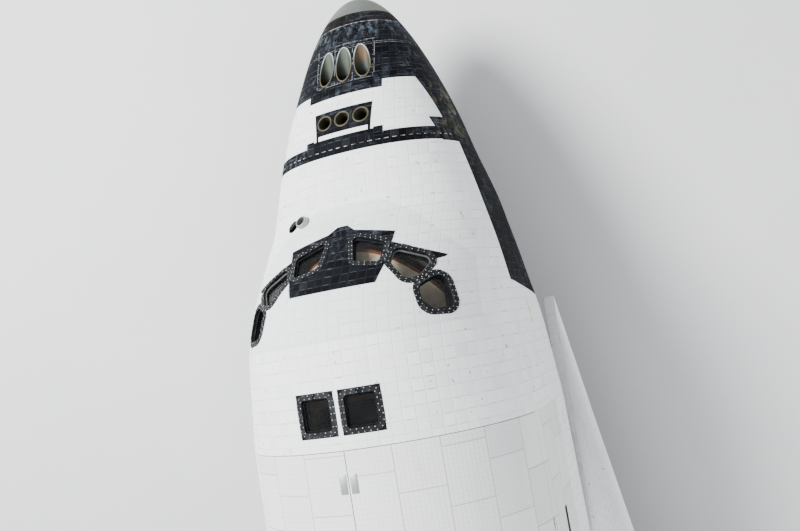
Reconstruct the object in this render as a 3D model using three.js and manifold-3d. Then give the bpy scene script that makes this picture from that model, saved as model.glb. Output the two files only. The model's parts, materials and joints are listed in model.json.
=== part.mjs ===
// Space shuttle orbiter, parked on its landing gear with its payload bay doors closed.
// Millimetres. World frame: +X forward, +Y to port, +Z up, the floor at Z = 0.
// The airframe is modelled level in its own frame, where a point is (-station, y, z):
// station is the distance aft of the nose tip and z the height above the flat of the belly.
import * as THREE from "three";
import { mergeVertices } from "three/addons/utils/BufferGeometryUtils.js";
import Module from "manifold-3d";

const wasm = await Module();
wasm.setup();

// Driving dimensions
const PITCH = THREE.MathUtils.degToRad(3.5); // nose-down attitude on the gear
const BELLY_AT_NOSE = 949; // height of the belly plane over the floor, at station 0
const GAP = 0.4; // clearance between pieces that meet
const MOVE_GAP = 10; // clearance round pieces that move
const AROUND = 32; // points round a fuselage section

const NOSE_CAP_END = 533;
const MODULE_END = 3485; // aft face of the forward thruster module
const CABIN_END = 8636; // aft face of the crew cabin
const BAY_END = 27203; // aft face of the payload bay
const BASE = 32385; // plane of the base heat shield
const SPLIT_Z = 2050; // where the upper and lower forward fuselage meet
const SHELL = 230; // outer skin to cabin wall
const CABIN_FRONT = 4900;
const CABIN_FLOOR = 1500;

const SILL_Z = 3886; // payload bay door hinge height
const BAY_RADIUS = 2337;
const BAY_CENTRE_Z = 3378;
const DOOR_THICK = 150;
const RADIATOR_THICK = 60;

const ELEVON_HINGE = 29235;
const ELEVON_SPLIT = 7938;
const ELEVON_ROOT = 3110;
const WING_TIP = 11896;
const BODY_FLAP = {
  hinge: 32918,
  z: 600,
  radius: 250,
  span: 3000,
  tipSpan: 2850,
  end: 34976,
  endZ: 620,
};

const NOSE_GEAR = {
  station: 3600,
  axleZ: -764,
  tyreRadius: 406,
  tyreWidth: 224,
  rim: 203,
  track: 280,
  axle: 48,
};
const MAIN_GEAR = {
  station: 23774,
  y: 3454,
  axleZ: -1834,
  tyreRadius: 570,
  tyreWidth: 406,
  rim: 267,
  track: 420,
  axle: 80,
};
const WHEEL_SIDES = 16;
const NOSE_WELL = { front: 1900, back: 3900, half: 560, top: 1650 };
const MAIN_WELL = { front: 20900, back: 24250, inner: 2740, outer: 4240, top: 950 };

// Fuselage sections: each half is a superellipse about the height of the greatest width.
// station, half width, top z, bottom z, widest z, upper power, lower power
const FUSELAGE = [
  [0, 0, 1850, 1850, 1850, 2.0, 2.0],
  [229, 490, 2330, 1450, 1880, 2.0, 2.0],
  [660, 830, 2690, 1190, 1930, 2.0, 2.1],
  [1118, 1082, 2960, 980, 1980, 2.05, 2.2],
  [1796, 1373, 3240, 770, 2060, 2.1, 2.5],
  [2921, 1740, 3750, 590, 2180, 2.2, 2.9],
  [3607, 1905, 4010, 500, 2250, 2.26, 3.2],
  [4674, 2175, 4260, 380, 2320, 2.26, 3.8],
  [5150, 2260, 4680, 330, 2400, 2.26, 4.0],
  [5650, 2350, 5100, 280, 2500, 2.26, 4.3],
  [6200, 2430, 5565, 230, 2650, 2.26, 4.8],
  [6960, 2545, 5850, 165, 2850, 2.22, 5.4],
  [7976, 2625, 5918, 100, 3200, 2.05, 6.2],
  [8788, 2667, 5918, 60, 3378, 2.0, 7.0],
  [12000, 2667, 5918, 0, 3378, 2.0, 8.0],
  [27203, 2667, 5918, 0, 3378, 2.0, 8.0],
  [29800, 2790, 5918, 60, 3100, 2.0, 8.0],
  [32385, 2980, 5918, 300, 2800, 2.1, 8.0],
  [33500, 3000, 5918, 330, 2800, 2.1, 8.0],
];

// Monotone cubic through columns of a table, against the square root of the station
function monotoneCurve(xs, ys) {
  const n = xs.length;
  const slopes = ys.slice(1).map((y, i) => (y - ys[i]) / (xs[i + 1] - xs[i]));
  const tangents = ys.map((_, i) => {
    if (i === 0) return slopes[0];
    if (i === n - 1) return slopes[n - 2];
    const [a, b] = [slopes[i - 1], slopes[i]];
    if (a * b <= 0) return 0;
    const [ha, hb] = [xs[i] - xs[i - 1], xs[i + 1] - xs[i]];
    const [wa, wb] = [2 * hb + ha, hb + 2 * ha];
    return (wa + wb) / (wa / a + wb / b);
  });
  return (x) => {
    let i = 0;
    while (i < n - 2 && x > xs[i + 1]) i++;
    const h = xs[i + 1] - xs[i];
    const t = (x - xs[i]) / h;
    const t2 = t * t;
    const t3 = t2 * t;
    return (
      (2 * t3 - 3 * t2 + 1) * ys[i] +
      (t3 - 2 * t2 + t) * h * tangents[i] +
      (3 * t2 - 2 * t3) * ys[i + 1] +
      (t3 - t2) * h * tangents[i + 1]
    );
  };
}
const roots = FUSELAGE.map((row) => Math.sqrt(row[0]));
const curves = [1, 2, 3, 4, 5, 6].map((k) => monotoneCurve(roots, FUSELAGE.map((row) => row[k])));

function section(station) {
  const [half, top, bottom, wide, upper, lower] = curves.map((curve) => curve(Math.sqrt(station)));
  return { half, top, bottom, wide, upper, lower };
}

function sectionRing(station, grow = 0, count = AROUND) {
  const { half, top, bottom, wide, upper, lower } = section(station);
  return Array.from({ length: count }, (_, i) => {
    const angle = (2 * Math.PI * i) / count;
    const [c, s] = [Math.cos(angle), Math.sin(angle)];
    const power = 2 / (s >= 0 ? upper : lower);
    const rise = s >= 0 ? top + grow - wide : wide - bottom + grow;
    const y = (half + grow) * Math.sign(c) * Math.abs(c) ** power;
    const z = wide + rise * Math.sign(s) * Math.abs(s) ** power;
    return new THREE.Vector3(-station, y, z);
  });
}

function surfaceZ(station, y) {
  const { half, top, wide, upper } = section(station);
  return wide + (top - wide) * Math.max(0, 1 - Math.abs(y / half) ** upper) ** (1 / upper);
}

// Closed solids from three.js geometry
function solidOf(geometry) {
  const bare = geometry.clone();
  bare.deleteAttribute("normal");
  bare.deleteAttribute("uv");
  const merged = mergeVertices(bare, 1e-3);
  return new wasm.Manifold(
    new wasm.Mesh({
      numProp: 3,
      vertProperties: new Float32Array(merged.attributes.position.array),
      triVerts: new Uint32Array(merged.index.array),
    }),
  );
}

function geometryOf(solid) {
  const mesh = solid.getMesh();
  return new THREE.BufferGeometry()
    .setAttribute("position", new THREE.BufferAttribute(mesh.vertProperties, 3))
    .setIndex(new THREE.BufferAttribute(mesh.triVerts, 1))
    .toNonIndexed();
}

// Skins a stack of rings with the same number of points, and closes both ends
function loft(rings) {
  const count = rings[0].length;
  const points = rings.flat();
  const faces = [];
  for (let r = 0; r < rings.length - 1; r++) {
    for (let i = 0; i < count; i++) {
      const [a, b] = [r * count + i, r * count + ((i + 1) % count)];
      // Diagonals mirror each other about the centre plane
      if (points[a].y + points[b].y > 0) faces.push(a, b, b + count, a, b + count, a + count);
      else faces.push(a, b, a + count, b, b + count, a + count);
    }
  }
  for (const [start, turn] of [[0, false], [(rings.length - 1) * count, true]]) {
    const middle = new THREE.Vector3();
    for (let i = 0; i < count; i++) middle.addScaledVector(points[start + i], 1 / count);
    points.push(middle);
    for (let i = 0; i < count; i++) {
      const [a, b] = [start + i, start + ((i + 1) % count)];
      if (turn) faces.push(a, b, points.length - 1);
      else faces.push(b, a, points.length - 1);
    }
  }
  let volume = 0;
  for (let i = 0; i < faces.length; i += 3) {
    const [a, b, c] = [points[faces[i]], points[faces[i + 1]], points[faces[i + 2]]];
    volume += a.dot(new THREE.Vector3().crossVectors(b, c));
  }
  if (volume < 0) {
    for (let i = 0; i < faces.length; i += 3) [faces[i + 1], faces[i + 2]] = [faces[i + 2], faces[i + 1]];
  }
  const geometry = new THREE.BufferGeometry().setFromPoints(points);
  geometry.setIndex(faces);
  return solidOf(geometry);
}

// A box between two stations, two widths and two heights
function box(front, back, y0, y1, z0, z1) {
  const geometry = new THREE.BoxGeometry(back - front, y1 - y0, z1 - z0);
  geometry.translate(-(front + back) / 2, (y0 + y1) / 2, (z0 + z1) / 2);
  return solidOf(geometry);
}

// A round bar or cone from one point to another
function bar(from, to, radius, endRadius = radius, sides = 16, twist = 0) {
  const along = new THREE.Vector3().subVectors(to, from);
  const geometry = new THREE.CylinderGeometry(endRadius, radius, along.length(), sides);
  geometry.rotateY(twist);
  geometry.translate(0, along.length() / 2, 0);
  const turn = new THREE.Quaternion();
  turn.setFromUnitVectors(new THREE.Vector3(0, 1, 0), along.clone().normalize());
  geometry.applyQuaternion(turn);
  geometry.translate(from.x, from.y, from.z);
  return solidOf(geometry);
}

const at = (station, y, z) => new THREE.Vector3(-station, y, z);
const join = (...solids) => solids.reduce((a, b) => a.add(b));
const cut = (solid, ...tools) => tools.reduce((a, b) => a.subtract(b), solid);
// A bore whose flats face the corners of a shaft with that radius and number of sides
function bore(from, to, radius, sides) {
  const corner = (radius + GAP) / Math.cos(Math.PI / sides);
  return bar(from, to, corner, corner, sides, Math.PI / sides);
}

const STATIONS = [
  6, 60, 180, 360, 800, 1200, 1796, 2400, 2921, 4100, 4674, 5150, 5650, 6200, 6700, 7300, 8000, 12000,
  28400, 29800, 31200,
];
function fuselage(front, back, grow = 0) {
  const stations = [front, ...STATIONS.filter((s) => s > front + 20 && s < back - 20), back];
  return loft(stations.map((s) => sectionRing(s, grow)));
}
const seatBody = () =>
  join(
    fuselage(NOSE_CAP_END, CABIN_END, GAP),
    fuselage(CABIN_END, BAY_END, GAP),
    fuselage(BAY_END, BASE, GAP),
    fuselage(BASE - 1, BASE + 1, GAP),
  );

// The part's nodes, gathered by name
const airframe = new THREE.Group();
const slots = {
  white_tile: [0.87, 0.87, 0.85, 0.75],
  black_tile: [0.05, 0.05, 0.055, 0.6],
  carbon: [0.3, 0.31, 0.31, 0.55],
  blanket: [0.85, 0.84, 0.81, 0.85],
  glass: [0.05, 0.06, 0.06, 0.1],
  radiator: [0.8, 0.82, 0.84, 0.25],
  nozzle: [0.35, 0.33, 0.31, 0.45],
  gear_metal: [0.72, 0.73, 0.74, 0.4],
  tyre: [0.04, 0.04, 0.04, 0.9],
  cabin: [0.55, 0.48, 0.36, 0.8],
};
const materials = Object.fromEntries(
  Object.entries(slots).map(([slot, [r, g, b, roughness]]) => [
    slot,
    new THREE.MeshStandardMaterial({
      color: new THREE.Color(r, g, b),
      roughness,
      metalness: ["nozzle", "gear_metal", "radiator"].includes(slot) ? 0.8 : 0,
    }),
  ]),
);

function node(name, slot, solid) {
  const mesh = new THREE.Mesh(geometryOf(solid), materials[slot]);
  mesh.name = name;
  airframe.add(mesh);
}
function mirrored(solid) {
  const geometry = geometryOf(solid).scale(1, -1, 1);
  const corners = geometry.attributes.position.array;
  for (let i = 0; i < corners.length; i += 9) {
    const second = corners.slice(i + 3, i + 6);
    corners.copyWithin(i + 3, i + 6, i + 9);
    corners.set(second, i + 6);
  }
  return solidOf(geometry);
}
const pair = (name, slot, solid) => {
  node(name + "_left", slot, solid);
  node(name + "_right", slot, mirrored(solid));
};

// Windows: corners of each port pane as station and y on the skin, and how deep the pane sits
const PANES = {
  window_front: [[5245, 250], [5450, 835], [5790, 790], [5705, 340]],
  window_middle: [[5572, 998], [5849, 1611], [6132, 1432], [6166, 1223], [5826, 947]],
  window_side: [[6094, 1744], [6741, 1893], [6699, 1490], [6284, 1390]],
  window_overhead: [[7800, 130], [7800, 640], [8310, 640], [8310, 130]],
};
const PANE = { depth: 60, thick: 40, through: 500 };

function paneFrame(corners) {
  const points = corners.map(([s, y]) => at(s, y, surfaceZ(s, y)));
  const middle = new THREE.Vector3();
  points.forEach((p) => middle.addScaledVector(p, 1 / points.length));
  const across = new THREE.Vector3().subVectors(points[2], points[0]);
  const normal = new THREE.Vector3().subVectors(points[1], points.at(-1)).cross(across).normalize();
  if (normal.z < 0) normal.negate();
  const flat = points.map((p) => {
    const off = new THREE.Vector3().subVectors(p, middle).dot(normal);
    return p.clone().addScaledVector(normal, -off);
  });
  return { flat, middle, normal };
}

function panePrism(corners, low, high, inset = 0) {
  const { flat, middle, normal } = paneFrame(corners);
  const rings = [low, high].map((height) =>
    flat.map((p) => {
      const inward = new THREE.Vector3().subVectors(middle, p).normalize();
      return p.clone().addScaledVector(inward, inset).addScaledVector(normal, height);
    }),
  );
  return loft(rings);
}

const bothSides = (solid) => [solid, mirrored(solid)];

// Forward fuselage
const THRUSTERS = {
  forward: { station: 1750, ys: [-372, 0, 372], radius: 158 },
  up: { station: 2921, ys: [-366, 0, 366], radius: 130 },
  side: [[3215, 2710], [3251, 2343]],
  down: [[2489, 2286], [2845, 2323]],
};
const HATCH = { station: 6800, z: 2700, outer: 560, inner: 500, window: 127 };
const STAR_TRACKERS = [[4744, 894], [4748, 1144]];

function thrusterCuts() {
  const cuts = [];
  const { forward, up } = THRUSTERS;
  for (const y of forward.ys) {
    const z = surfaceZ(forward.station, y);
    cuts.push(bar(at(2110, y, z), at(900, y, z), forward.radius, forward.radius, 10));
  }
  for (const y of up.ys) {
    const z = surfaceZ(up.station, y);
    cuts.push(bar(at(up.station, y, z - 220), at(up.station - 40, y, z + 200), 80, up.radius, 10));
  }
  for (const [s, z] of THRUSTERS.side) {
    const y = section(s).half;
    cuts.push(...bothSides(bar(at(s, y - 260, z), at(s, y + 100, z), 70, 125, 8)));
  }
  for (const [s, z] of THRUSTERS.down) {
    const y = section(s).half - 60;
    cuts.push(...bothSides(bar(at(s, y - 140, z + 200), at(s, y + 160, z - 260), 70, 125, 8)));
  }
  return cuts;
}

function cabinSpace(grow = 0) {
  const space = fuselage(CABIN_FRONT, CABIN_END - SHELL, grow - SHELL);
  return space.intersect(box(0, 9000, -3000, 3000, CABIN_FLOOR, 7000));
}

function hatchPlug(extra) {
  const skin = section(HATCH.station).half + 60;
  const [y0, y1] = [skin - 600, skin];
  const slope = (HATCH.outer - HATCH.inner) / SHELL;
  const outer = HATCH.outer + extra + 60 * slope;
  const from = at(HATCH.station, y0, HATCH.z);
  const to = at(HATCH.station, y1, HATCH.z);
  return bar(from, to, outer - 600 * slope, outer, 20);
}
const hatchHinge = { y: section(HATCH.station).half + 6, z: HATCH.z - HATCH.outer - 12, radius: 22 };

// Adds a barrel hinge to two solids: the fixed one's barrel lies aft of each place, the moving one's ahead
function barrelHinge(fixed, moving, places, y, z, radius, width) {
  for (const s of places) {
    const clear = radius + 6;
    const span = (a, b, r) => bar(at(a, y, z), at(b, y, z), r, r, 10);
    fixed = cut(fixed, span(s - 6, s + width + 6, clear));
    moving = cut(moving, span(s - width - 6, s + 6, clear));
    fixed = fixed.add(span(s - width, s - GAP / 2, radius));
    moving = moving.add(span(s + GAP / 2, s + width, radius));
  }
  return [fixed, moving];
}

const noseCap = fuselage(6, NOSE_CAP_END);
node("nose_cap", "carbon", noseCap);

const upperBox = (front, back) => box(front, back, -3200, 3200, SPLIT_Z + GAP, 7000);
const moduleBody = fuselage(NOSE_CAP_END + GAP, MODULE_END).intersect(upperBox(0, MODULE_END + 1));
node("forward_thruster_module", "black_tile", cut(moduleBody, ...thrusterCuts()));

const wellCut = box(NOSE_WELL.front, NOSE_WELL.back, -NOSE_WELL.half, NOSE_WELL.half, -200, NOSE_WELL.top);
const lowerBody = fuselage(NOSE_CAP_END + GAP, CABIN_END).intersect(box(0, 9000, -3200, 3200, -500, SPLIT_Z));
const downwardCuts = thrusterCuts().slice(-4);
node("forward_fuselage_lower", "black_tile", cut(lowerBody, wellCut, cabinSpace(), ...downwardCuts));

let upperBody = fuselage(MODULE_END + GAP, CABIN_END).intersect(upperBox(0, 9000));
upperBody = cut(upperBody, cabinSpace());
const starTrackerCuts = STAR_TRACKERS.map(([s, y]) => {
  const z = surfaceZ(s, y);
  return bar(at(s + 40, y - 90, z - 200), at(s - 60, y + 130, z + 260), 105, 105, 10);
});
const AFT_WINDOW = { y: 330, z: 5050, half: 185, high: 140 };
const aftWindowHole = (inset) => {
  const { y, z, half, high } = AFT_WINDOW;
  return [y - half + inset, y + half - inset, z - high + inset, z + high - inset];
};
for (const corners of Object.values(PANES)) {
  upperBody = cut(upperBody, ...bothSides(panePrism(corners, -PANE.through, PANE.through)));
}
upperBody = cut(
  upperBody,
  ...starTrackerCuts,
  ...bothSides(box(8300, 8700, ...aftWindowHole(0))),
);
let hatchBody = upperBody.intersect(hatchPlug(0));
upperBody = cut(upperBody, hatchPlug(7));
const hatchPlaces = [HATCH.station - 90, HATCH.station + 90];
const { y: hy, z: hz } = hatchHinge;
for (const s of hatchPlaces) {
  upperBody = cut(upperBody, box(s - 6, s + 66, hy - 70, hy + 60, hz - 28, hz + 60));
  upperBody = upperBody.add(box(s - 60, s - GAP / 2, hy - 70, hy, hz - 60, hz));
  hatchBody = hatchBody.add(box(s + GAP / 2, s + 60, hy - 40, hy - 4, hz, hz + 90));
}
[upperBody, hatchBody] = barrelHinge(upperBody, hatchBody, hatchPlaces, hy, hz, hatchHinge.radius, 60);
const hatchBore = (radius) => {
  const y = section(HATCH.station).half;
  const z = HATCH.z + 60;
  return bar(at(HATCH.station, y - 500, z), at(HATCH.station, y + 100, z), radius, radius, 16);
};
hatchBody = cut(hatchBody, hatchBore(HATCH.window));
node("forward_fuselage_upper", "white_tile", upperBody);
node("side_hatch", "white_tile", hatchBody);
const hatchSkin = section(HATCH.station).half;
const hatchPane = hatchBore(HATCH.window - GAP).intersect(
  box(6000, 7600, hatchSkin - 110, hatchSkin - 70, 2000, 3500),
);
node("hatch_window", "glass", hatchPane);
for (const [name, corners] of Object.entries(PANES)) {
  pair(name, "glass", panePrism(corners, -PANE.depth - PANE.thick, -PANE.depth, GAP * 2));
}
pair("window_aft", "glass", box(8500, 8530, ...aftWindowHole(GAP)));

// Flight deck seen through the windows: floor, instrument panel, two seats and aft console
function flightDeck() {
  const deck = box(CABIN_FRONT + 5, CABIN_END - SHELL - GAP, -3000, 3000, 3750, 3850);
  const floor = cabinSpace(-3).intersect(deck);
  const panel = box(5900, 6120, -1100, 1100, 3800, 4600);
  const console_ = box(8000, 8350, -900, 900, 3800, 4800);
  const pedestal = box(6000, 6800, -220, 220, 3800, 4250);
  const seats = [-650, 650].flatMap((y) => [
    box(6550, 7050, y - 240, y + 240, 3800, 4300),
    box(6980, 7100, y - 240, y + 240, 4250, 5050),
  ]);
  return join(floor, panel, console_, pedestal, ...seats);
}
node("flight_deck", "cabin", flightDeck());

// Mid fuselage, payload bay doors and their radiators
const bayCut = join(
  bar(at(CABIN_END - 10, 0, BAY_CENTRE_Z), at(BAY_END + 10, 0, BAY_CENTRE_Z), BAY_RADIUS, BAY_RADIUS, 28),
  box(CABIN_END - 10, BAY_END + 10, -BAY_RADIUS, BAY_RADIUS, BAY_CENTRE_Z, 7000),
);
let midBody = fuselage(CABIN_END + GAP, BAY_END - GAP).intersect(box(8000, 28000, -3200, 3200, -500, SILL_Z));
midBody = cut(midBody, bayCut);

const doorSkin = cut(
  fuselage(CABIN_END + MOVE_GAP, BAY_END - MOVE_GAP),
  fuselage(CABIN_END, BAY_END, -DOOR_THICK),
);
let doorBody = doorSkin.intersect(box(8000, 28000, 4, 3200, SILL_Z + 6, 7000));
const bay = section(20000);
const hingeY = bay.half * Math.sqrt(1 - ((SILL_Z - bay.wide) / (bay.top - bay.wide)) ** 2);
const DOOR_HINGES = [10500, 18000, 25500];
for (const side of [1, -1]) {
  let leaf = side > 0 ? doorBody : mirrored(doorBody);
  [midBody, leaf] = barrelHinge(midBody, leaf, DOOR_HINGES, side * hingeY, SILL_Z, 26, 90);
  node(side > 0 ? "payload_door_left" : "payload_door_right", "blanket", leaf);
}
node("mid_fuselage", "blanket", midBody);
const radiatorSkin = cut(
  fuselage(CABIN_END, BAY_END, -DOOR_THICK - GAP),
  fuselage(CABIN_END, BAY_END, -DOOR_THICK - RADIATOR_THICK),
);
const radiatorPart = box(8900, BAY_END - 300, 60, 3200, SILL_Z + 260, 7000);
pair("radiator", "radiator", radiatorSkin.intersect(radiatorPart));

// Aft fuselage: a shell with the base heat shield, and a shelf that carries the body flap
const ENGINES = {
  main_engine_upper: { gimbal: [30709, 0, 4470], pitch: 16, yaw: 0, end: 34544 },
  main_engine_left: { gimbal: [31293, 1346, 1921], pitch: 10, yaw: 3.5, end: 35230 },
  main_engine_right: { gimbal: [31293, -1346, 1921], pitch: 10, yaw: -3.5, end: 35230 },
};
// Bell of a main engine: distance from the exit, outer radius
const BELL = [[0, 1150], [450, 1105], [1050, 980], [1700, 790], [2350, 555], [2900, 330]];
const BELL_SIDES = 18;
const BELL_WALL = 36;
const COLLAR = 790;

function engineAxis({ gimbal, pitch, yaw, end }) {
  const start = at(...gimbal);
  const tilt = THREE.MathUtils.degToRad(pitch);
  const swing = THREE.MathUtils.degToRad(yaw);
  const along = new THREE.Vector3(-Math.cos(tilt) * Math.cos(swing), Math.sin(swing), Math.sin(tilt));
  along.normalize();
  const exit = start.clone().addScaledVector(along, (end - gimbal[0]) / -along.x);
  return { start, along, exit };
}

function bell(exit, along, profile, wall, sides) {
  const length = profile.at(-1)[0];
  const outer = profile.map(([d, r]) => new THREE.Vector2(r, -d));
  const inner = profile.slice(0, -1).map(([d, r]) => new THREE.Vector2(r - wall, -d));
  const points = [new THREE.Vector2(0, -length), ...outer.reverse(), ...inner];
  points.push(new THREE.Vector2(0, inner.at(-1).y));
  const geometry = new THREE.LatheGeometry(points, sides);
  const turn = new THREE.Quaternion().setFromUnitVectors(new THREE.Vector3(0, 1, 0), along);
  geometry.applyQuaternion(turn);
  geometry.translate(exit.x, exit.y, exit.z);
  return solidOf(geometry);
}

function engine(spec) {
  const { start, along, exit } = engineAxis(spec);
  const base = start.clone().addScaledVector(along, (BASE - spec.gimbal[0]) / -along.x);
  const collar = bar(
    base.clone().addScaledVector(along, -60),
    base.clone().addScaledVector(along, 120),
    COLLAR - GAP,
    COLLAR - 180,
    BELL_SIDES,
  );
  const nozzle = bell(exit, along, BELL, BELL_WALL, BELL_SIDES);
  const powerhead = bar(start, start.clone().addScaledVector(along, BASE - spec.gimbal[0]), 620, 620, 12);
  return join(cut(join(collar, powerhead), bellFill(exit, along)), nozzle);
}

// The space inside a bell, to the middle of its wall
function bellFill(exit, along) {
  const rows = BELL.slice(0, -1).reverse();
  const points = [new THREE.Vector2(0, -rows[0][0] - 10)];
  for (const [d, r] of rows) points.push(new THREE.Vector2(r - BELL_WALL / 2, -d - 10));
  points.push(new THREE.Vector2(BELL[0][1], 50), new THREE.Vector2(0, 50));
  const geometry = new THREE.LatheGeometry(points, BELL_SIDES);
  geometry.applyQuaternion(new THREE.Quaternion().setFromUnitVectors(new THREE.Vector3(0, 1, 0), along));
  geometry.translate(exit.x, exit.y, exit.z);
  return solidOf(geometry);
}

let aftBody = fuselage(BAY_END + GAP, BASE);
const aftSpace = join(
  box(BAY_END + 300, BASE - 160, -2300, 2300, 450, 4300),
  box(BAY_END + 2500, BASE - 160, -900, 900, 4200, 5600),
);
aftBody = cut(aftBody, aftSpace);
for (const spec of Object.values(ENGINES)) {
  const { start, along } = engineAxis(spec);
  const base = start.clone().addScaledVector(along, (BASE - spec.gimbal[0]) / -along.x);
  const hole = bar(
    base.clone().addScaledVector(along, -700),
    base.clone().addScaledVector(along, 700),
    COLLAR,
    COLLAR,
    BELL_SIDES,
  );
  aftBody = cut(aftBody, hole.intersect(box(BASE - 400, BASE + 400, -3000, 3000, 0, 7000)));
}
const flap = BODY_FLAP;
const shelf = box(BASE - 100, flap.hinge + 60, -flap.span, flap.span, 330, 900);
aftBody = aftBody.add(shelf.intersect(fuselage(BASE - 100, flap.hinge + 60)));
const FLAP_SIDES = 14;
const flapBar = (radius, y0, y1) =>
  bar(at(flap.hinge, y0, flap.z), at(flap.hinge, y1, flap.z), radius, radius, FLAP_SIDES);
aftBody = cut(
  aftBody,
  flapBar(flap.radius + MOVE_GAP, -3200, 3200),
  box(flap.hinge - flap.radius * 0.5, flap.hinge + 500, -3200, 3200, 0, 1000),
);

function bodyFlap() {
  const wedge = loft(
    [[-flap.span, -flap.tipSpan], [flap.span, flap.tipSpan]].map(([root, tip]) => [
      at(flap.hinge, root, flap.z + flap.radius),
      at(flap.hinge, root, flap.z - flap.radius),
      at(flap.end, tip, flap.endZ - 15),
      at(flap.end, tip, flap.endZ + 15),
    ]),
  );
  return join(wedge, flapBar(flap.radius, -flap.span, flap.span));
}

// A fixed lug that reaches into a disc-shaped slot round the hinge line of a moving surface
const LUG = { half: 40, radius: 120 };
function lugHinge(fixed, moving, centre, axis, noseRadius, reach) {
  const slotRadius = (noseRadius + 6) / Math.cos(Math.PI / 14);
  const side = axis.clone().multiplyScalar(LUG.half);
  const [a, b] = [centre.clone().sub(side), centre.clone().add(side)];
  const wide = axis.clone().multiplyScalar(LUG.half + GAP);
  const slot = bar(centre.clone().sub(wide), centre.clone().add(wide), slotRadius, slotRadius, 14);
  const round = bar(a, b, LUG.radius, LUG.radius, 10);
  const forward = new THREE.Vector3(1, 0, 0);
  const upward = new THREE.Vector3().crossVectors(forward, axis).normalize();
  const plateHalf = LUG.radius * 0.98;
  const corners = (p) =>
    [[0, -1], [0, 1], [1, 1], [1, -1]].map(([f, u]) =>
      p.clone().addScaledVector(forward, f * reach).addScaledVector(upward, u * plateHalf),
    );
  const plate = loft([corners(a), corners(b)]);
  return [fixed.add(round).add(plate), moving.subtract(slot)];
}

let flapBody = bodyFlap();
const portward = new THREE.Vector3(0, 1, 0);
const LUG_REACH = 60; // how far a lug's plate runs into the fixed part
for (const y of [-1900, 1900]) {
  const middle = at(flap.hinge, y, flap.z);
  const reach = flap.radius + LUG_REACH;
  [aftBody, flapBody] = lugHinge(aftBody, flapBody, middle, portward, flap.radius, reach);
}
node("body_flap", "black_tile", flapBody);
for (const [name, spec] of Object.entries(ENGINES)) node(name, "nozzle", engine(spec));

// Wing sections from root to tip.
// y, leading edge station, trailing edge station, underside z, thickest,
// then the share of that thickness at each chord fraction
const CHORD = [0.004, 0.02, 0.06, 0.14, 0.28, 0.45, 0.65, 0.85, 1];
const ROOT_SHARE = [0.06, 0.13, 0.22, 0.34, 0.52, 0.76, 1, 0.86, 0.42];
const MID_SHARE = [0.08, 0.17, 0.3, 0.46, 0.68, 0.9, 1, 0.84, 0.48];
const TIP_SHARE = [0.14, 0.3, 0.5, 0.75, 0.95, 1, 0.9, 0.74, 0.58];
const WING = [
  [1500, 7000, 32200, 0, 1480, ROOT_SHARE],
  [2667, 6706, 32256, 60, 1480, ROOT_SHARE],
  [3048, 9300, 32200, 92, 1420, ROOT_SHARE],
  [3810, 14100, 32065, 157, 1300, MID_SHARE],
  [4450, 18050, 31950, 212, 1180, MID_SHARE],
  [4775, 19900, 31893, 239, 1080, TIP_SHARE],
  [5200, 20700, 31818, 275, 990, TIP_SHARE],
  [7938, 23178, 31332, 508, 720, TIP_SHARE],
  [11896, 27136, 30630, 845, 396, TIP_SHARE],
];
const hingeThick = (row) => row[4] * row[5].at(-1);

function wingRing([y, lead, , under, thick, share]) {
  const chord = ELEVON_HINGE - lead;
  const lift = (f) => under + 0.38 * thick * share[3] * Math.max(0, 1 - f / 0.14) ** 1.6;
  const upper = CHORD.map((f, i) => at(lead + f * chord, y, lift(f) + thick * share[i]));
  const lower = CHORD.map((f) => at(lead + f * chord, y, lift(f)));
  return [at(lead, y, lift(0) + thick * share[0] * 0.4), ...upper, ...lower.reverse()];
}
function wingTrail(y) {
  const i = Math.min(WING.length - 2, Math.max(0, WING.findIndex((row) => row[0] >= y) - 1));
  const [a, b] = [WING[i], WING[i + 1]];
  const t = (y - a[0]) / (b[0] - a[0]);
  return a[2] + (b[2] - a[2]) * t;
}
// The elevon hinge line is straight from root to tip
const hingeOf = (row) => ({ y: row[0], z: row[3] + hingeThick(row) / 2, radius: hingeThick(row) / 2 });
const hingeRoot = hingeOf(WING[1]);
const hingeTip = hingeOf(WING.at(-1));
const hingeAt = (y) => {
  const t = (y - hingeRoot.y) / (hingeTip.y - hingeRoot.y);
  return {
    point: at(ELEVON_HINGE, y, hingeRoot.z + t * (hingeTip.z - hingeRoot.z)),
    radius: hingeRoot.radius + t * (hingeTip.radius - hingeRoot.radius),
  };
};
const hingeAxis = hingeAt(WING_TIP).point.sub(hingeAt(hingeRoot.y).point).normalize();

let wing = loft(WING.map(wingRing));
wing = cut(wing, seatBody());
const wheelWell = box(MAIN_WELL.front, MAIN_WELL.back, MAIN_WELL.inner, MAIN_WELL.outer, -500, MAIN_WELL.top);
wing = cut(wing, wheelWell);
// Cove for the elevons' round noses
const NOSE_SIDES = 12;
const coneAlong = (y0, y1, radiusOf) => {
  const [a, b] = [hingeAt(y0), hingeAt(y1)];
  return bar(a.point, b.point, radiusOf(a.radius), radiusOf(b.radius), NOSE_SIDES);
};
const coveRadius = (radius) => (radius + MOVE_GAP) / Math.cos(Math.PI / NOSE_SIDES);
const lipBack = (y) => hingeAt(y).radius * 0.62;
wing = cut(
  wing,
  coneAlong(2500, WING_TIP + 60, coveRadius),
  loft([2500, WING_TIP + 60].map((y) => [
    at(ELEVON_HINGE - lipBack(y), y, -300),
    at(ELEVON_HINGE - lipBack(y), y, 2000),
    at(ELEVON_HINGE + 500, y, 2000),
    at(ELEVON_HINGE + 500, y, -300),
  ])),
);

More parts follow.
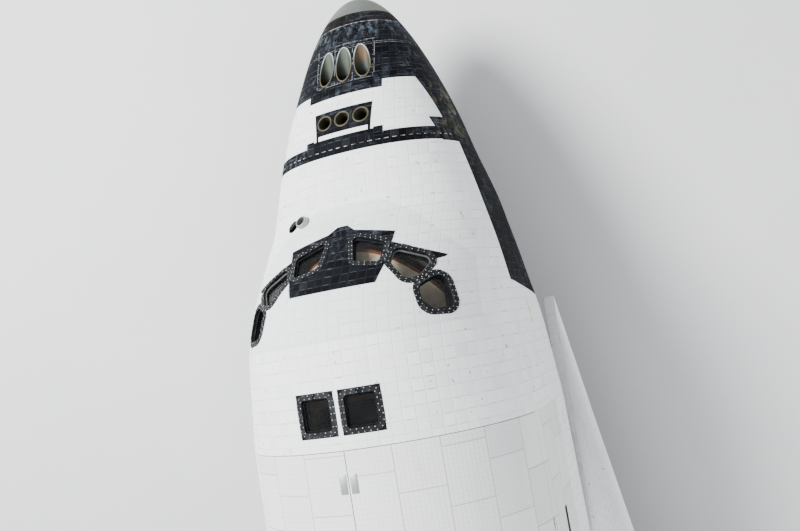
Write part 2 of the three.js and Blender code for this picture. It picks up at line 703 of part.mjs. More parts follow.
function elevon(y0, y1) {
  // Ends stand square to the hinge line, so that neighbours never meet
  const ends = [y0, y1].map((y) => {
    const { point, radius } = hingeAt(y);
    const end = wingTrail(y);
    const upward = new THREE.Vector3().crossVectors(new THREE.Vector3(1, 0, 0), hingeAxis).normalize();
    const back = new THREE.Vector3(-(end - ELEVON_HINGE), 0, 0);
    const trail = point.clone().add(back).addScaledVector(upward, -radius * 0.35);
    return [
      point.clone().addScaledVector(upward, radius),
      point.clone().addScaledVector(upward, -radius),
      trail.clone().addScaledVector(upward, -14),
      trail.clone().addScaledVector(upward, 14),
    ];
  });
  return join(loft(ends), coneAlong(y0, y1, (radius) => radius));
}
const ELEVONS = {
  elevon_inner: [ELEVON_ROOT, ELEVON_SPLIT - 8, [4000, 7000]],
  elevon_outer: [ELEVON_SPLIT + 8, WING_TIP - 4, [8800, 11000]],
};
for (const [name, [y0, y1, lugs]] of Object.entries(ELEVONS)) {
  let surface = elevon(y0, y1);
  for (const y of lugs) {
    const { point, radius } = hingeAt(y);
    LUG.radius = Math.min(120, radius - 20);
    [wing, surface] = lugHinge(wing, surface, point, hingeAxis, radius, radius + LUG_REACH);
  }
  pair(name, "blanket", surface);
}

// Carbon leading edge, outboard of the glove
const EDGE_DEPTH = 330;
const edgeRegion = (extra) => {
  const line = WING.slice(4).map(([y, lead]) => [lead, y]);
  line[0][1] -= extra * 2;
  line.at(-1)[1] += 300;
  line.at(-1)[0] += 300;
  const plan = new THREE.Shape([
    ...line.map(([s, y]) => new THREE.Vector2(-s + 900, y)),
    ...line.reverse().map(([s, y]) => new THREE.Vector2(-s - EDGE_DEPTH - extra, y)),
  ]);
  const geometry = new THREE.ExtrudeGeometry(plan, { depth: 4000, bevelEnabled: false });
  geometry.translate(0, 0, -500);
  return solidOf(geometry);
};
pair("wing_leading_edge", "carbon", wing.intersect(edgeRegion(0)));
wing = cut(wing, edgeRegion(GAP));
pair("wing", "white_tile", wing);

// Main gear doors hang from the outboard edge of each well
const DOOR_LEAF = 60;
const DOOR_HEIGHTS = [400, -1450];
function mainDoor() {
  const { front, back, outer } = MAIN_WELL;
  const y = outer + 4;
  const [top, bottom] = DOOR_HEIGHTS;
  return loft(
    [front + 15, back - 15].map((s) => [
      at(s, y, top),
      at(s, y + DOOR_LEAF, top),
      at(s, y + DOOR_LEAF, bottom),
      at(s, y, bottom),
    ]),
  );
}
const wingGrown = loft(
  WING.slice(1, 6).map(([y, lead, trail, under, thick, share]) =>
    wingRing([y, lead, trail, under - GAP, thick, share]),
  ),
);
pair("main_gear_door", "black_tile", cut(mainDoor(), wingGrown));

// Nose gear doors
function noseDoor() {
  const { front, back, half } = NOSE_WELL;
  const stations = [front + 10, 2400, 2921, 3400, back - 10];
  return loft(
    stations.map((s) => {
      const z = section(s).bottom;
      return [
        at(s, half + 4, z + 60),
        at(s, half + 44, z + 60),
        at(s, half + 74, z - 750),
        at(s, half + 34, z - 750),
      ];
    }),
  );
}
pair("nose_gear_door", "black_tile", cut(noseDoor(), seatBody()));

// Fin sections: z, leading edge station, trailing edge station, half thickness
const FIN = [
  [5400, 27260, 33200, 300],
  [5994, 27260, 33282, 300],
  [6740, 27270, 33650, 318],
  [7976, 28444, 34260, 290],
  [13081, 33549, 36777, 161],
  [14021, 34481, 37236, 138],
];
const FIN_CHORD = [[0.02, 0.25], [0.08, 0.5], [0.2, 0.8], [0.42, 1], [0.62, 0.98], [1, 0.05]];
const HINGE_SHARE = 0.6; // of the chord
const RUDDER = { low: 7976, high: 13081 };
function finRing([z, lead, trail, half]) {
  const chord = trail - lead;
  const side = (k) => FIN_CHORD.map(([f, t]) => at(lead + f * chord, k * t * half, z));
  return [at(lead, 0, z), ...side(1), ...side(-1).reverse()];
}
function finAt(z) {
  const [a, b] = [FIN[3], FIN[5]];
  const t = (z - a[0]) / (b[0] - a[0]);
  const mix = (k) => a[k] + (b[k] - a[k]) * t;
  return { lead: mix(1), trail: mix(2), half: mix(3) };
}
const rudderHinge = (z) => {
  const { lead, trail, half } = finAt(z);
  return { point: at(lead + HINGE_SHARE * (trail - lead), 0, z), half };
};
const hingeLow = rudderHinge(RUDDER.low);
const hingeHigh = rudderHinge(RUDDER.high);
const rudderAxis = new THREE.Vector3().subVectors(hingeHigh.point, hingeLow.point).normalize();
const span = new THREE.Vector3().subVectors(hingeHigh.point, hingeLow.point).length();
const onPost = (along) => hingeLow.point.clone().addScaledVector(rudderAxis, along);
// Room for the panels, which swing up to 76 degrees about a raked hinge line
const RUDDER_GAP = { below: 85, above: 150, cove: 14 };
const COVE_SHARE = 1.2; // radius of the cove, of the fin's half thickness

let fin = loft(FIN.map(finRing));
const upperEngine = engineAxis(ENGINES.main_engine_upper);
const besideEngine = bar(
  upperEngine.exit.clone().addScaledVector(upperEngine.along, -2200),
  upperEngine.exit.clone().addScaledVector(upperEngine.along, 400),
  1000,
  1300,
  20,
);
fin = cut(fin, seatBody(), besideEngine);
// The opening behind the hinge line, and a round cove ahead of it
const rudderSpace = loft(
  [RUDDER.low - RUDDER_GAP.below, RUDDER.high].map((z) => {
    const front = -rudderHinge(z).point.x - 50;
    const behind = front + 5000;
    return [at(front, -900, z), at(front, 900, z), at(behind, 900, z), at(behind, -900, z)];
  }),
);
const rudderCove = (half) => half * COVE_SHARE + RUDDER_GAP.cove;
const cove = bar(onPost(0), onPost(span), rudderCove(hingeLow.half), rudderCove(hingeHigh.half), 20);
const POST = { radius: 60, root: 180 };
const postSocket = bore(onPost(-POST.root - GAP), onPost(80), POST.radius, 12);
fin = cut(fin, rudderSpace, cove);
// Drag chute housing under the rudder
const chute = loft([
  [32700, 190], [33300, 300], [34300, 300], [34700, 210],
].map(([s, r]) => Array.from({ length: 14 }, (_, i) => {
  const a = (2 * Math.PI * i) / 14;
  return at(s, r * Math.cos(a), 7250 + r * 1.15 * Math.sin(a));
})));
fin = cut(fin.add(chute), postSocket);
node("fin", "blanket", fin);

// Rudder post: the row of rotary actuators on the hinge line that steers both speed brake panels
node("rudder_post", "gear_metal", bar(onPost(-POST.root), onPost(span - 90), POST.radius, POST.radius, 12));
function rudderPanel() {
  const ends = [RUDDER.low, RUDDER.high - RUDDER_GAP.above].map((z) => {
    const { point, half } = rudderHinge(z);
    const { trail } = finAt(z);
    const front = -point.x + 12;
    return [at(front, 4, z), at(front, half * 0.97, z), at(trail, 20, z), at(trail, 4, z)];
  });
  return cut(loft(ends), bar(onPost(-300), onPost(span + 300), POST.radius + 8, POST.radius + 8, 12));
}
// Each panel is carried on the post by rings at its own heights
const RINGS = { rudder_left: [700, 3600], rudder_right: [1300, 4200] };
for (const [name, places] of Object.entries(RINGS)) {
  const starboard = name.endsWith("right");
  let panel = rudderPanel();
  if (starboard) panel = mirrored(panel);
  const others = Object.entries(RINGS)
    .filter(([other]) => other !== name)
    .flatMap(([, p]) => p);
  const disc = (d, radius, half = 60) => bar(onPost(d - half), onPost(d + half), radius, radius, 12);
  for (const d of others) panel = cut(panel, disc(d, 120, 70));
  for (const d of places) {
    const hole = bore(onPost(d - 70), onPost(d + 70), POST.radius, 12);
    panel = panel.add(cut(disc(d, 105), hole));
  }
  node(name, "blanket", panel);
}
node("aft_fuselage", "blanket", aftBody);

// Orbital engine pods
// station, y of the middle, z of the middle, half width, half height
const POD = [
  [27300, 1700, 4950, 160, 160],
  [27900, 1780, 4990, 480, 430],
  [28900, 1900, 5050, 840, 780],
  [30300, 2100, 5130, 1150, 1080],
  [31800, 2350, 5200, 1380, 1230],
  [32900, 2420, 5230, 1380, 1220],
  [33450, 2420, 5250, 1260, 1120],
  [33500, 2420, 5250, 1180, 1040],
];
const POD_NOZZLE = { y: 2260, z: 5560, end: 34500 };
// Bell of an orbital engine: distance from the exit, outer radius
const POD_BELL = [[0, 560], [250, 530], [500, 475], [750, 395], [950, 300], [1000, 275]];
const finGrown = loft(FIN.map(([z, lead, trail, half]) => finRing([z, lead, trail, half + GAP])));
const pod = loft(
  POD.map(([s, y, z, w, h]) =>
    Array.from({ length: 18 }, (_, i) => {
      const a = (2 * Math.PI * i) / 18;
      return at(s, y + w * Math.cos(a), z + h * Math.sin(a));
    }),
  ),
);
pair("engine_pod", "blanket", cut(pod, seatBody(), finGrown));
const podExit = at(POD_NOZZLE.end + GAP, POD_NOZZLE.y, POD_NOZZLE.z);
pair("pod_engine", "nozzle", bell(podExit, new THREE.Vector3(-1, 0, 0), POD_BELL, 18, 16));

// Landing gear. A tyre or rim is turned about Y.
function turned(profile, station, y, z, sides) {
  const geometry = new THREE.LatheGeometry(profile.map(([r, w]) => new THREE.Vector2(r, w)), sides);
  geometry.translate(-station, y, z);
  return solidOf(geometry);
}
function tyre(gear, y) {
  const [r, w, rim] = [gear.tyreRadius, gear.tyreWidth / 2, gear.rim + GAP];
  const half = [[rim, w * 0.8], [rim + 40, w], [r * 0.84, w], [r, w * 0.5]];
  const profile = [...half.map(([p, q]) => [p, -q]), ...half.reverse(), [rim, -w * 0.8]];
  return turned(profile, gear.station, y, gear.axleZ, WHEEL_SIDES);
}
function hubs(gear, middle) {
  const rim = (y) => {
    const w = gear.tyreWidth / 2;
    const half = [[0, w * 0.5], [gear.rim * 0.6, w * 0.5], [gear.rim, w * 0.78]];
    const profile = [...half.map(([p, q]) => [p, -q]), ...half.reverse()];
    return turned(profile, gear.station, y, gear.axleZ, WHEEL_SIDES);
  };
  const reach = gear.track + gear.tyreWidth * 0.3;
  const axle = bar(
    at(gear.station, middle - reach, gear.axleZ),
    at(gear.station, middle + reach, gear.axleZ),
    gear.axle,
    gear.axle,
    16,
  );
  return join(rim(middle - gear.track), rim(middle + gear.track), axle);
}
function bearing(gear, middle, outer, half) {
  const end = (offset) => at(gear.station, middle + offset, gear.axleZ);
  const sleeve = bar(end(-half), end(half), outer);
  return [sleeve, bore(end(-half - 10), end(half + 10), gear.axle, 16)];
}

// Nose gear: fixed cylinder with drag brace, steered piston and fork
const ng = NOSE_GEAR;
const [noseBearing, noseBore] = bearing(ng, 0, 85, 70);
const steerTop = 150;
const noseLeg = join(
  bar(at(ng.station, 0, steerTop), at(ng.station, 0, NOSE_WELL.top - GAP), 95, 95, 16),
  bar(at(ng.station, 0, 420), at(2450, 0, NOSE_WELL.top - 120), 50, 50, 10),
  box(2350, 2550, -150, 150, NOSE_WELL.top - 260, NOSE_WELL.top - GAP),
  bar(at(ng.station, -420, 1200), at(ng.station, 420, 1200), 60, 60, 10),
);
node("nose_gear_leg", "gear_metal", noseLeg);
const noseSteer = cut(
  join(
    bar(at(ng.station, 0, ng.axleZ), at(ng.station, 0, steerTop - GAP), 62, 62, 16),
    bar(at(ng.station, 0, steerTop - 120), at(ng.station, 0, steerTop - GAP), 110, 110, 16),
    noseBearing,
    box(ng.station + 40, ng.station + 190, -40, 40, -520, -440),
    box(ng.station + 40, ng.station + 190, -40, 40, 20, 90),
    box(ng.station + 140, ng.station + 190, -40, 40, -520, 90),
  ),
  noseBore,
);
node("nose_gear_steering", "gear_metal", noseSteer);
node("nose_wheel_hubs", "gear_metal", hubs(ng, 0));
node("nose_tyre_left", "tyre", tyre(ng, ng.track));
node("nose_tyre_right", "tyre", tyre(ng, -ng.track));

// Main gear: leg with drag brace, side brace and torque links
const mg = MAIN_GEAR;
const [mainBearing, mainBore] = bearing(mg, mg.y, 135, 120);
const mainLeg = cut(
  join(
    bar(at(mg.station, mg.y, -950), at(mg.station, mg.y, MAIN_WELL.top - GAP), 150, 150, 16),
    bar(at(mg.station, mg.y, mg.axleZ), at(mg.station, mg.y, -900), 105, 105, 16),
    mainBearing,
    bar(at(mg.station, mg.y, -560), at(21700, mg.y, MAIN_WELL.top - 150), 65, 65, 10),
    box(21550, 21850, mg.y - 180, mg.y + 180, MAIN_WELL.top - 300, MAIN_WELL.top - GAP),
    bar(at(mg.station, mg.y - 500, 500), at(mg.station, mg.y + 500, 500), 85, 85, 12),
    box(mg.station + 70, mg.station + 300, mg.y - 60, mg.y + 60, -1560, -1470),
    box(mg.station + 70, mg.station + 300, mg.y - 60, mg.y + 60, -900, -800),
    box(mg.station + 240, mg.station + 300, mg.y - 60, mg.y + 60, -1560, -800),
  ),
  mainBore,
);
pair("main_gear_leg", "gear_metal", mainLeg);
pair("main_wheel_hubs", "gear_metal", hubs(mg, mg.y));
pair("main_tyre_outer", "tyre", tyre(mg, mg.y + mg.track));
pair("main_tyre_inner", "tyre", tyre(mg, mg.y - mg.track));

// Park the airframe on the floor, with the middle of its length over the origin
airframe.rotation.y = PITCH;
airframe.position.z = BELLY_AT_NOSE;
const vehicle = new THREE.Group();
vehicle.add(airframe);
vehicle.updateMatrixWorld(true);
const extent = new THREE.Box3().setFromObject(vehicle, true);
airframe.position.x = -(extent.min.x + extent.max.x) / 2;
airframe.position.z -= extent.min.z;

export default vehicle;
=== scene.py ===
import json
from functools import reduce
from math import acos, atan2, cos, hypot, pi, radians, sin, sqrt, tan

import bmesh
import bpy
import numpy as np
from mathutils import Matrix, Vector


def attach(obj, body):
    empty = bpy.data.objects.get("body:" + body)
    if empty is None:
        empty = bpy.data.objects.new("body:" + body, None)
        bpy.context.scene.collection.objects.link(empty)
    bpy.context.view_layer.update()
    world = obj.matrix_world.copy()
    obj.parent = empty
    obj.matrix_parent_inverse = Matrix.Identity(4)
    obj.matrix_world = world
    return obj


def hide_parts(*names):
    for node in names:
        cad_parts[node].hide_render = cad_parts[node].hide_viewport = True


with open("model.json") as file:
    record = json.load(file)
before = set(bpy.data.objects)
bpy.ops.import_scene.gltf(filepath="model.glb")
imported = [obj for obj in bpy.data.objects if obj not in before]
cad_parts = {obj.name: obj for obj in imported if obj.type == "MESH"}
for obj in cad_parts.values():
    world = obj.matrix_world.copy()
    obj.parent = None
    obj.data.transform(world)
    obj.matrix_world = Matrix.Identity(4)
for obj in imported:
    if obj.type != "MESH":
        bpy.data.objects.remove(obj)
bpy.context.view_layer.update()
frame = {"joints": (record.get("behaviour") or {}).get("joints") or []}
scene = bpy.context.scene

# The airframe is drawn level, as station aft of the nose, port distance and height over the belly.
# It stands on the floor nose down, and the body flap's hinge says where.
stance = {"pitch": radians(3.5), "flapStation": 32.918, "flapHeight": 0.6}
flapPos = next(j for j in frame["joints"] if j["name"] == "body_flap_hinge")["pos_m"]
cosPitch, sinPitch = cos(stance["pitch"]), sin(stance["pitch"])
originX = flapPos[0] + stance["flapStation"] * cosPitch - stance["flapHeight"] * sinPitch
originZ = flapPos[2] - stance["flapStation"] * sinPitch - stance["flapHeight"] * cosPitch


def toRow(points):
    s, y, z = np.moveaxis(np.asarray(points, float), -1, 0)
    return np.stack([originX - s * cosPitch + z * sinPitch, y, originZ + s * sinPitch + z * cosPitch], -1)


def rowVector(x, y, z):
    return Vector((x * cosPitch + z * sinPitch, y, -x * sinPitch + z * cosPitch))


def unit(vector):
    return np.asarray(vector, float) / np.linalg.norm(vector)


bothSides = ((1, "left"), (-1, "right"))


def turnsOf(count):
    return np.linspace(0, 2 * pi, count, endpoint=False)


def spread(low, high, count):
    return np.linspace(radians(low), radians(high), count)


# A wire is a node's output that is added, multiplied and so on as a number is
class Wire:
    def __init__(self, socket):
        self.socket, self.tree = socket, socket.id_data

    def calc(self, operation, *others):
        return put(self.tree, "ShaderNodeMath", dict(enumerate((self, *others))), operation=operation)[0]

    def vector(self, operation, other):
        outputs = put(self.tree, "ShaderNodeVectorMath", {0: self, 1: other}, operation=operation)
        return outputs["Value" if operation == "DOT_PRODUCT" else 0]

    def parts(self):
        outputs = put(self.tree, "ShaderNodeSeparateXYZ", {0: self})
        return [outputs[k] for k in range(3)]

    def rise(self, low, high, start=0.0, end=1.0):
        values = {"Value": self, "From Min": low, "From Max": high, "To Min": start, "To Max": end}
        return put(self.tree, "ShaderNodeMapRange", values, interpolation_type="SMOOTHSTEP")[0]

    def crisp(self, soft=0.004):
        return put(self.tree, "ShaderNodeMapRange", {"Value": self, "From Min": -soft, "From Max": soft})[0]

    def __add__(self, other):
        return self.calc("ADD", other)

    def __sub__(self, other):
        return self.calc("SUBTRACT", other)

    def __mul__(self, other):
        return self.calc("MULTIPLY", other)

    def __truediv__(self, other):
        return self.calc("DIVIDE", other)

    def __radd__(self, number):
        return put(self.tree, "ShaderNodeMath", {0: number, 1: self}, operation="ADD")[0]

    def __rsub__(self, number):
        return put(self.tree, "ShaderNodeMath", {0: number, 1: self}, operation="SUBTRACT")[0]


def plug(value, socket):
    if isinstance(value, Wire):
        socket.id_data.links.new(value.socket, socket)
    else:
        socket.default_value = (*value, 1) if socket.type == "RGBA" and len(value) == 3 else value


def wiresOf(node):
    wires = [Wire(socket) for socket in node.outputs]
    return dict(enumerate(wires)) | {wire.socket.name: wire for wire in wires}


def put(tree, kind, values=None, **settings):
    node = tree.nodes.new(kind)
    for name, value in settings.items():
        setattr(node, name, value)
    for key, value in (values or {}).items():
        plug(value, node.inputs[key])
    return wiresOf(node)


def treeOf(*values):
    return next(value.tree for value in values if isinstance(value, Wire))


def mix(factor, a, b):
    return put(treeOf(factor, a, b), "ShaderNodeMix", {0: factor, 6: a, 7: b}, data_type="RGBA")[2]


def mixValue(factor, a, b):
    return put(treeOf(factor, a, b), "ShaderNodeMix", {0: factor, 2: a, 3: b}, data_type="FLOAT")[0]


def combine(*values):
    return put(treeOf(*values), "ShaderNodeCombineXYZ", dict(enumerate(values)))[0]


def least(*values):
    return reduce(lambda a, b: a.calc("MINIMUM", b), values)


def most(*values):
    return reduce(lambda a, b: a.calc("MAXIMUM", b), values)


def noise(place, scale, detail=3.0, rough=0.55, stretch=None):
    place = place.vector("MULTIPLY", stretch) if stretch else place
    return put(place.tree, "ShaderNodeTexNoise", {
        "Vector": place, "Scale": scale, "Detail": detail, "Roughness": rough,
    })["Fac"]


def cellNoise(*values):
    return put(treeOf(*values), "ShaderNodeTexWhiteNoise", {"Vector": combine(*values)}, noise_dimensions="3D")


def newTree(name, kind, inputs, outputs):
    tree = bpy.data.node_groups.new(name, f"{kind}NodeTree")
    for label, (sort, value) in inputs.items():
        socket = tree.interface.new_socket(label, in_out="INPUT", socket_type=f"NodeSocket{sort}")
        if value is not None:
            socket.default_value = value
    for label, sort in outputs.items():
        tree.interface.new_socket(label, in_out="OUTPUT", socket_type=f"NodeSocket{sort}")
    return tree, wiresOf(tree.nodes.new("NodeGroupInput")), tree.nodes.new("NodeGroupOutput").inputs


def useGroup(tree, group, values=None):
    return put(tree, "ShaderNodeGroup", values, node_tree=group)


def newMaterial(name, **constants):
    labels = {"spec": "Specular IOR Level", "coat": "Coat Weight", "coatRough": "Coat Roughness"}
    material = bpy.data.materials.new(name)
    material.use_nodes = True
    shader = material.node_tree.nodes["Principled BSDF"].inputs
    for key, value in constants.items():
        shader[labels.get(key, key)].default_value = value
    return material, material.node_tree, shader


def dress(shader, colour, rough, height, depth):
    plug(colour, shader["Base Color"])
    plug(rough, shader["Roughness"])
    bump = put(height.tree, "ShaderNodeBump", {"Height": height, "Distance": depth, "Strength": 1.0})
    plug(bump[0], shader["Normal"])


# Effects that the finishes share
tileInputs = {"Place": ("Vector", None), "Point": ("Vector", None), "Black": ("Float", 0.0), "Wear": ("Float", 0.5)}
quiltInputs = {
    "Place": ("Vector", None), "Point": ("Vector", None),
    "Long": ("Float", 0.91), "Wide": ("Float", 0.76), "Stitch": ("Float", 0.076),
}
surfaceOutputs = {"Colour": "Color", "Roughness": "Float", "Height": "Float"}


def makeAirframePoint():
    tree, _, out = newTree("airframePoint", "Shader", {}, {"Point": "Vector", "Folded": "Vector"})
    place = put(tree, "ShaderNodeTexCoord")["Object"]
    turned = put(tree, "ShaderNodeMapping", {"Vector": place, "Rotation": (0, -stance["pitch"], 0)})[0]
    home = (originX * cosPitch - originZ * sinPitch, 0, originX * sinPitch + originZ * cosPitch)
    point = turned.vector("SUBTRACT", home).vector("MULTIPLY", (-1, 1, 1))
    station, port, height = point.parts()
    plug(point, out["Point"])
    plug(combine(station, port.calc("ABSOLUTE"), height), out["Folded"])
    return tree


def makeTiles():
    tree, get, out = newTree("tileArray", "Shader", tileInputs, surfaceOutputs)
    black, wear, place = get["Black"], get["Wear"], get["Point"]
    size = mixValue(black, 0.203, 0.152)
    scaled = [part / size for part in get["Place"].parts()[:2]]
    cells = [value.calc("FLOOR") for value in scaled]
    sides = [value.calc("FRACT").calc("PINGPONG", 0.5) for value in scaled]
    nearest = least(*sides) * size
    gap = nearest.rise(0.0025, 0.0085, 1.0, 0.0)
    rowGap = (sides[0] * size).rise(0.003, 0.012, 1.0, 0.0)
    random = cellNoise(*cells, black * 7.0)
    tone = random["Value"]
    other = put(tree, "ShaderNodeSeparateColor", {0: random["Color"]})[1]
    smudge = noise(place, 1.1, 5.0, 0.62)
    grain = noise(place, 26.0, 4.0, 0.6)
    streak = noise(place, 1.0, 3.0, 0.6, (0.55, 11.0, 11.0))
    short = rowGap * sides[1].rise(0.12, 0.2)
    # white tiles: a few newer or greyer ones, faint drips along the airflow, dark dashes in some joints
    white = mix(tone.rise(0.0, 1.0), (0.85, 0.855, 0.85), (0.9, 0.9, 0.895))
    dirt = streak.rise(0.48, 0.8) * smudge.rise(0.45, 0.75)
    dash = short * tone.rise(0.78, 0.8)
    speck = noise(place, 9.0, 1.0, 0.4).rise(0.738, 0.757)
    for share, colour in (
        (other.rise(0.93, 0.94) * 0.25, (0.66, 0.69, 0.69)),
        (dirt * 0.28, (0.52, 0.49, 0.44)),
        (gap * 0.14, (0.42, 0.43, 0.43)),
        (dash * 0.55, (0.24, 0.24, 0.24)),
        (speck * 0.5, (0.22, 0.21, 0.2)),
    ):
        white = mix(share, white, colour)
    # black tiles: pale smudges, streaks and rows where the glass coating has weathered
    dark = mix(tone.rise(0.0, 1.0), (0.004, 0.0045, 0.006), (0.01, 0.011, 0.015))
    pale = streak.rise(0.5, 0.72) * smudge.rise(0.4, 0.7) * wear
    rows = noise(place, 1.0, 4.0, 0.65, (24.0, 2.2, 2.2)).rise(0.56, 0.68) * (smudge.rise(0.36, 0.6) * wear)
    for share, colour in (
        (pale, (0.115, 0.135, 0.16)),
        (other.rise(0.9, 0.93) * 0.3, (0.045, 0.05, 0.055)),
        (gap * 0.4, (0.045, 0.048, 0.055)),
        (rows, (0.11, 0.125, 0.15)),
        (short * other.rise(0.5, 0.9, 0.0, 0.55), (0.14, 0.155, 0.175)),
    ):
        dark = mix(share, dark, colour)
    plug(mix(black, white, dark), out["Colour"])
    rough = mixValue(black, 0.62, mixValue(tone, 0.55, 0.66))
    plug(rough + grain * 0.12 + gap * 0.2, out["Roughness"])
    plug(nearest.rise(0.0, 0.014) + grain * 0.16 + tone * 0.22, out["Height"])
    return tree


def makeQuilt():
    tree, get, out = newTree("quiltedBlanket", "Shader", quiltInputs, surfaceOutputs)
    place, parts = get["Point"], get["Place"].parts()
    row = parts[1] / get["Wide"]
    column = parts[0] / get["Long"] + row.calc("FLOOR") * 0.37
    seam = least(column.calc("PINGPONG", 0.5) * get["Long"], row.calc("PINGPONG", 0.5) * get["Wide"])
    seam = seam.rise(0.004, 0.012, 1.0, 0.0)
    tone = cellNoise(column.calc("FLOOR"), row.calc("FLOOR"))["Value"]
    half = get["Stitch"] * 0.5
    pillow = [(parts[k].calc("PINGPONG", half) / half).rise(0.0, 0.7) for k in range(2)]
    puff = pillow[0] * pillow[1]
    weave = noise(place, 90.0, 2.0, 0.5)
    dirt = noise(place, 0.7, 5.0, 0.6).rise(0.42, 0.75)
    dirt = dirt * noise(place, 1.0, 3.0, 0.6, (0.35, 6.0, 6.0)).rise(0.4, 0.75)
    colour = mix(tone, (0.76, 0.765, 0.755), (0.85, 0.85, 0.835))
    colour = mix(dirt * 0.35, colour, (0.5, 0.48, 0.44))
    # the hollows between the pillows are painted a little darker, as painted shade in the creases
    colour = mix((1.0 - puff) * 0.1, colour, (0.45, 0.45, 0.44))
    plug(mix(seam * 0.45, colour, (0.3, 0.3, 0.3)), out["Colour"])
    plug(0.72 + weave * 0.2, out["Roughness"])
    plug(puff * 0.55 + weave * 0.12 - seam * 0.8, out["Height"])
    return tree


def makeGrime():
    inputs = {"Scale": ("Float", 2.0), "Low": ("Float", 0.45), "High": ("Float", 0.75)}
    tree, get, out = newTree("grimeAndGrain", "Shader", inputs, {"Patch": "Float", "Grain": "Float"})
    place = put(tree, "ShaderNodeTexCoord")["Object"]
    cloud = noise(place, get["Scale"], 6.0, 0.6)
    patch = put(tree, "ShaderNodeMapRange", {"Value": cloud, "From Min": get["Low"], "From Max": get["High"]})
    plug(patch[0], out["Patch"])
    plug(noise(place, 70.0, 3.0, 0.5), out["Grain"])
    return tree


airframePoint, tileArray, quiltedBlanket, grimeAndGrain = makeAirframePoint(), makeTiles(), makeQuilt(), makeGrime()


# Black and white zones, as signed distances in the airframe's own metres
def within(folded, corners, axes=(0, 1)):
    area = sum(a[0] * b[1] - b[0] * a[1] for a, b in zip(corners, corners[1:] + corners[:1]))
    corners = corners if area > 0 else corners[::-1]
    edges = []
    for (a0, a1), (b0, b1) in zip(corners, corners[1:] + corners[:1]):
        length = hypot(b0 - a0, b1 - a1)
        n0, n1 = -(b1 - a1) / length, (b0 - a0) / length
        normal = [0.0, 0.0, 0.0]
        normal[axes[0]], normal[axes[1]] = n0, n1
        edges.append(folded.vector("DOT_PRODUCT", normal) - (n0 * a0 + n1 * a1))
    return least(*edges)


# Convex corners of the black areas: station and port distance seen from above, station and height
# seen from the side. Both are mirrored about the centre plane.
blackFromAbove = {
    "tipMiddle": [(-1, -1), (2.4, -1), (2.4, 0.75), (-1, 0.75)],
    "tipWide": [(-1, -1), (2.23, -1), (2.23, 4), (-1, 4)],
    "upThrusters": [(2.685, -1), (3.155, -1), (3.155, 0.548), (2.685, 0.588)],
    "upThrusterLegs": [(3.1, 0.5), (3.4, 0.5), (3.4, 0.54), (3.1, 0.552)],
    "bandMiddle": [(3.25, -1), (3.4, -1), (3.4, 0.615), (3.25, 0.615)],
    "bandStep": [(3.22, 0.6), (3.4, 0.6), (3.4, 0.77), (3.22, 0.77)],
    "bandOuter": [(3.335, 0.77), (3.4, 0.77), (3.4, 4), (3.335, 4)],
    "band": [(3.372, -1), (3.6, -1), (3.6, 4), (3.372, 4)],
    "windshield": [(4.841, -1), (6.129, -1), (6.129, 0.775), (5.811, 0.889), (5.275, 0.976)],
    "windshieldPeak": [(4.998, -1), (5.3, -1), (5.3, 0.495), (4.998, 0.09)],
    "middleFrame": [(5.466, 0.942), (5.829, 1.782), (5.862, 1.75), (5.91, 1.5), (5.842, 0.832)],
    "overheadFrame": [(7.7, 0.04), (8.41, 0.04), (8.41, 0.73), (7.7, 0.73)],
}
blackFromTheSide = {
    "underModule": [(-1, 2.885), (2.238, 2.894), (3.14, 2.969), (3.14, -9), (-1, -9)],
    "underBand": [(3.129, 3.203), (3.62, 3.204), (3.62, -9), (3.129, -9)],
    "underCabin": [(3.58, -9), (3.58, 2.737), (6.356, 3.105), (6.356, -9)],
    "underHatch": [(6.35, 3.105), (6.632, 1.308), (6.632, -9), (6.35, -9)],
    "underBay": [(6.6, -9), (6.6, 1.31), (7.28, 1.235), (9.3, 1.0), (40, 0.8), (40, -9)],
}


def noseBlack(folded):
    above = most(*(within(folded, corners) for corners in blackFromAbove.values()))
    beside = [within(folded, corners, (0, 2)) for corners in blackFromTheSide.values()]
    return most(least(above, folded.parts()[2] - 2.6), *beside).crisp()


def lowBlack(folded):
    return within(folded, blackFromTheSide["underBay"], (0, 2)).crisp()


# Rectangles round the forward thrusters, and the newer tiles round the windshields, both from above
thrusterPanels = [
    [(1.27, -1), (2.13, -1), (2.13, 0.186), (1.27, 0.186)],
    [(1.27, 0.186), (2.13, 0.186), (2.13, 0.6), (1.27, 0.6)],
]
newerTiles = [(4.5, -1), (4.62, 0.95), (5.0, 1.3), (5.5, 2.1), (6.95, 2.2), (6.95, -1)]


def noseWeather(at, black, colour):
    point, folded = at["Point"], at["Folded"]
    station, port, height = point.parts()
    above = (height - 2.2).crisp()
    # pale runs behind the nose joint, and the browner ring ahead of it
    runs = noise(point, 1.0, 5.0, 0.68, (0.7, 12.0, 12.0)).rise(0.45, 0.68)
    fade = (station - 0.8).crisp() * station.rise(0.84, 1.5, 0.62, 0.0)
    colour = mix(runs * fade, colour, (0.19, 0.235, 0.275))
    colour = mix((0.8 - station).crisp() * runs, colour, (0.03, 0.021, 0.017))
    # panel lines
    edges = [within(folded, corners).calc("ABSOLUTE") for corners in thrusterPanels]
    line = (0.007 - least(*edges)).crisp() * above * (noise(point, 9.0, 2.0, 0.5).rise(0.42, 0.55) * 0.8)
    colour = mix(line, colour, (0.24, 0.26, 0.27))
    # scuffed tiles on the starboard chine
    scuff = noise(point, 4.6, 7.0, 0.72).rise(0.49, 0.64)
    scuff = scuff * station.rise(2.15, 2.45) * station.rise(3.5, 3.64, 1, 0)
    scuff = scuff * port.rise(-1.4, -1.15, 1, 0) * height.rise(1.9, 2.3)
    colour = mix(scuff * black * 0.7, colour, (0.15, 0.137, 0.1))
    # newer, greener tiles
    newer = within(folded, newerTiles).crisp() * (1.0 - black) * above * 0.42
    return mix(newer, colour, (0.62, 0.69, 0.68))


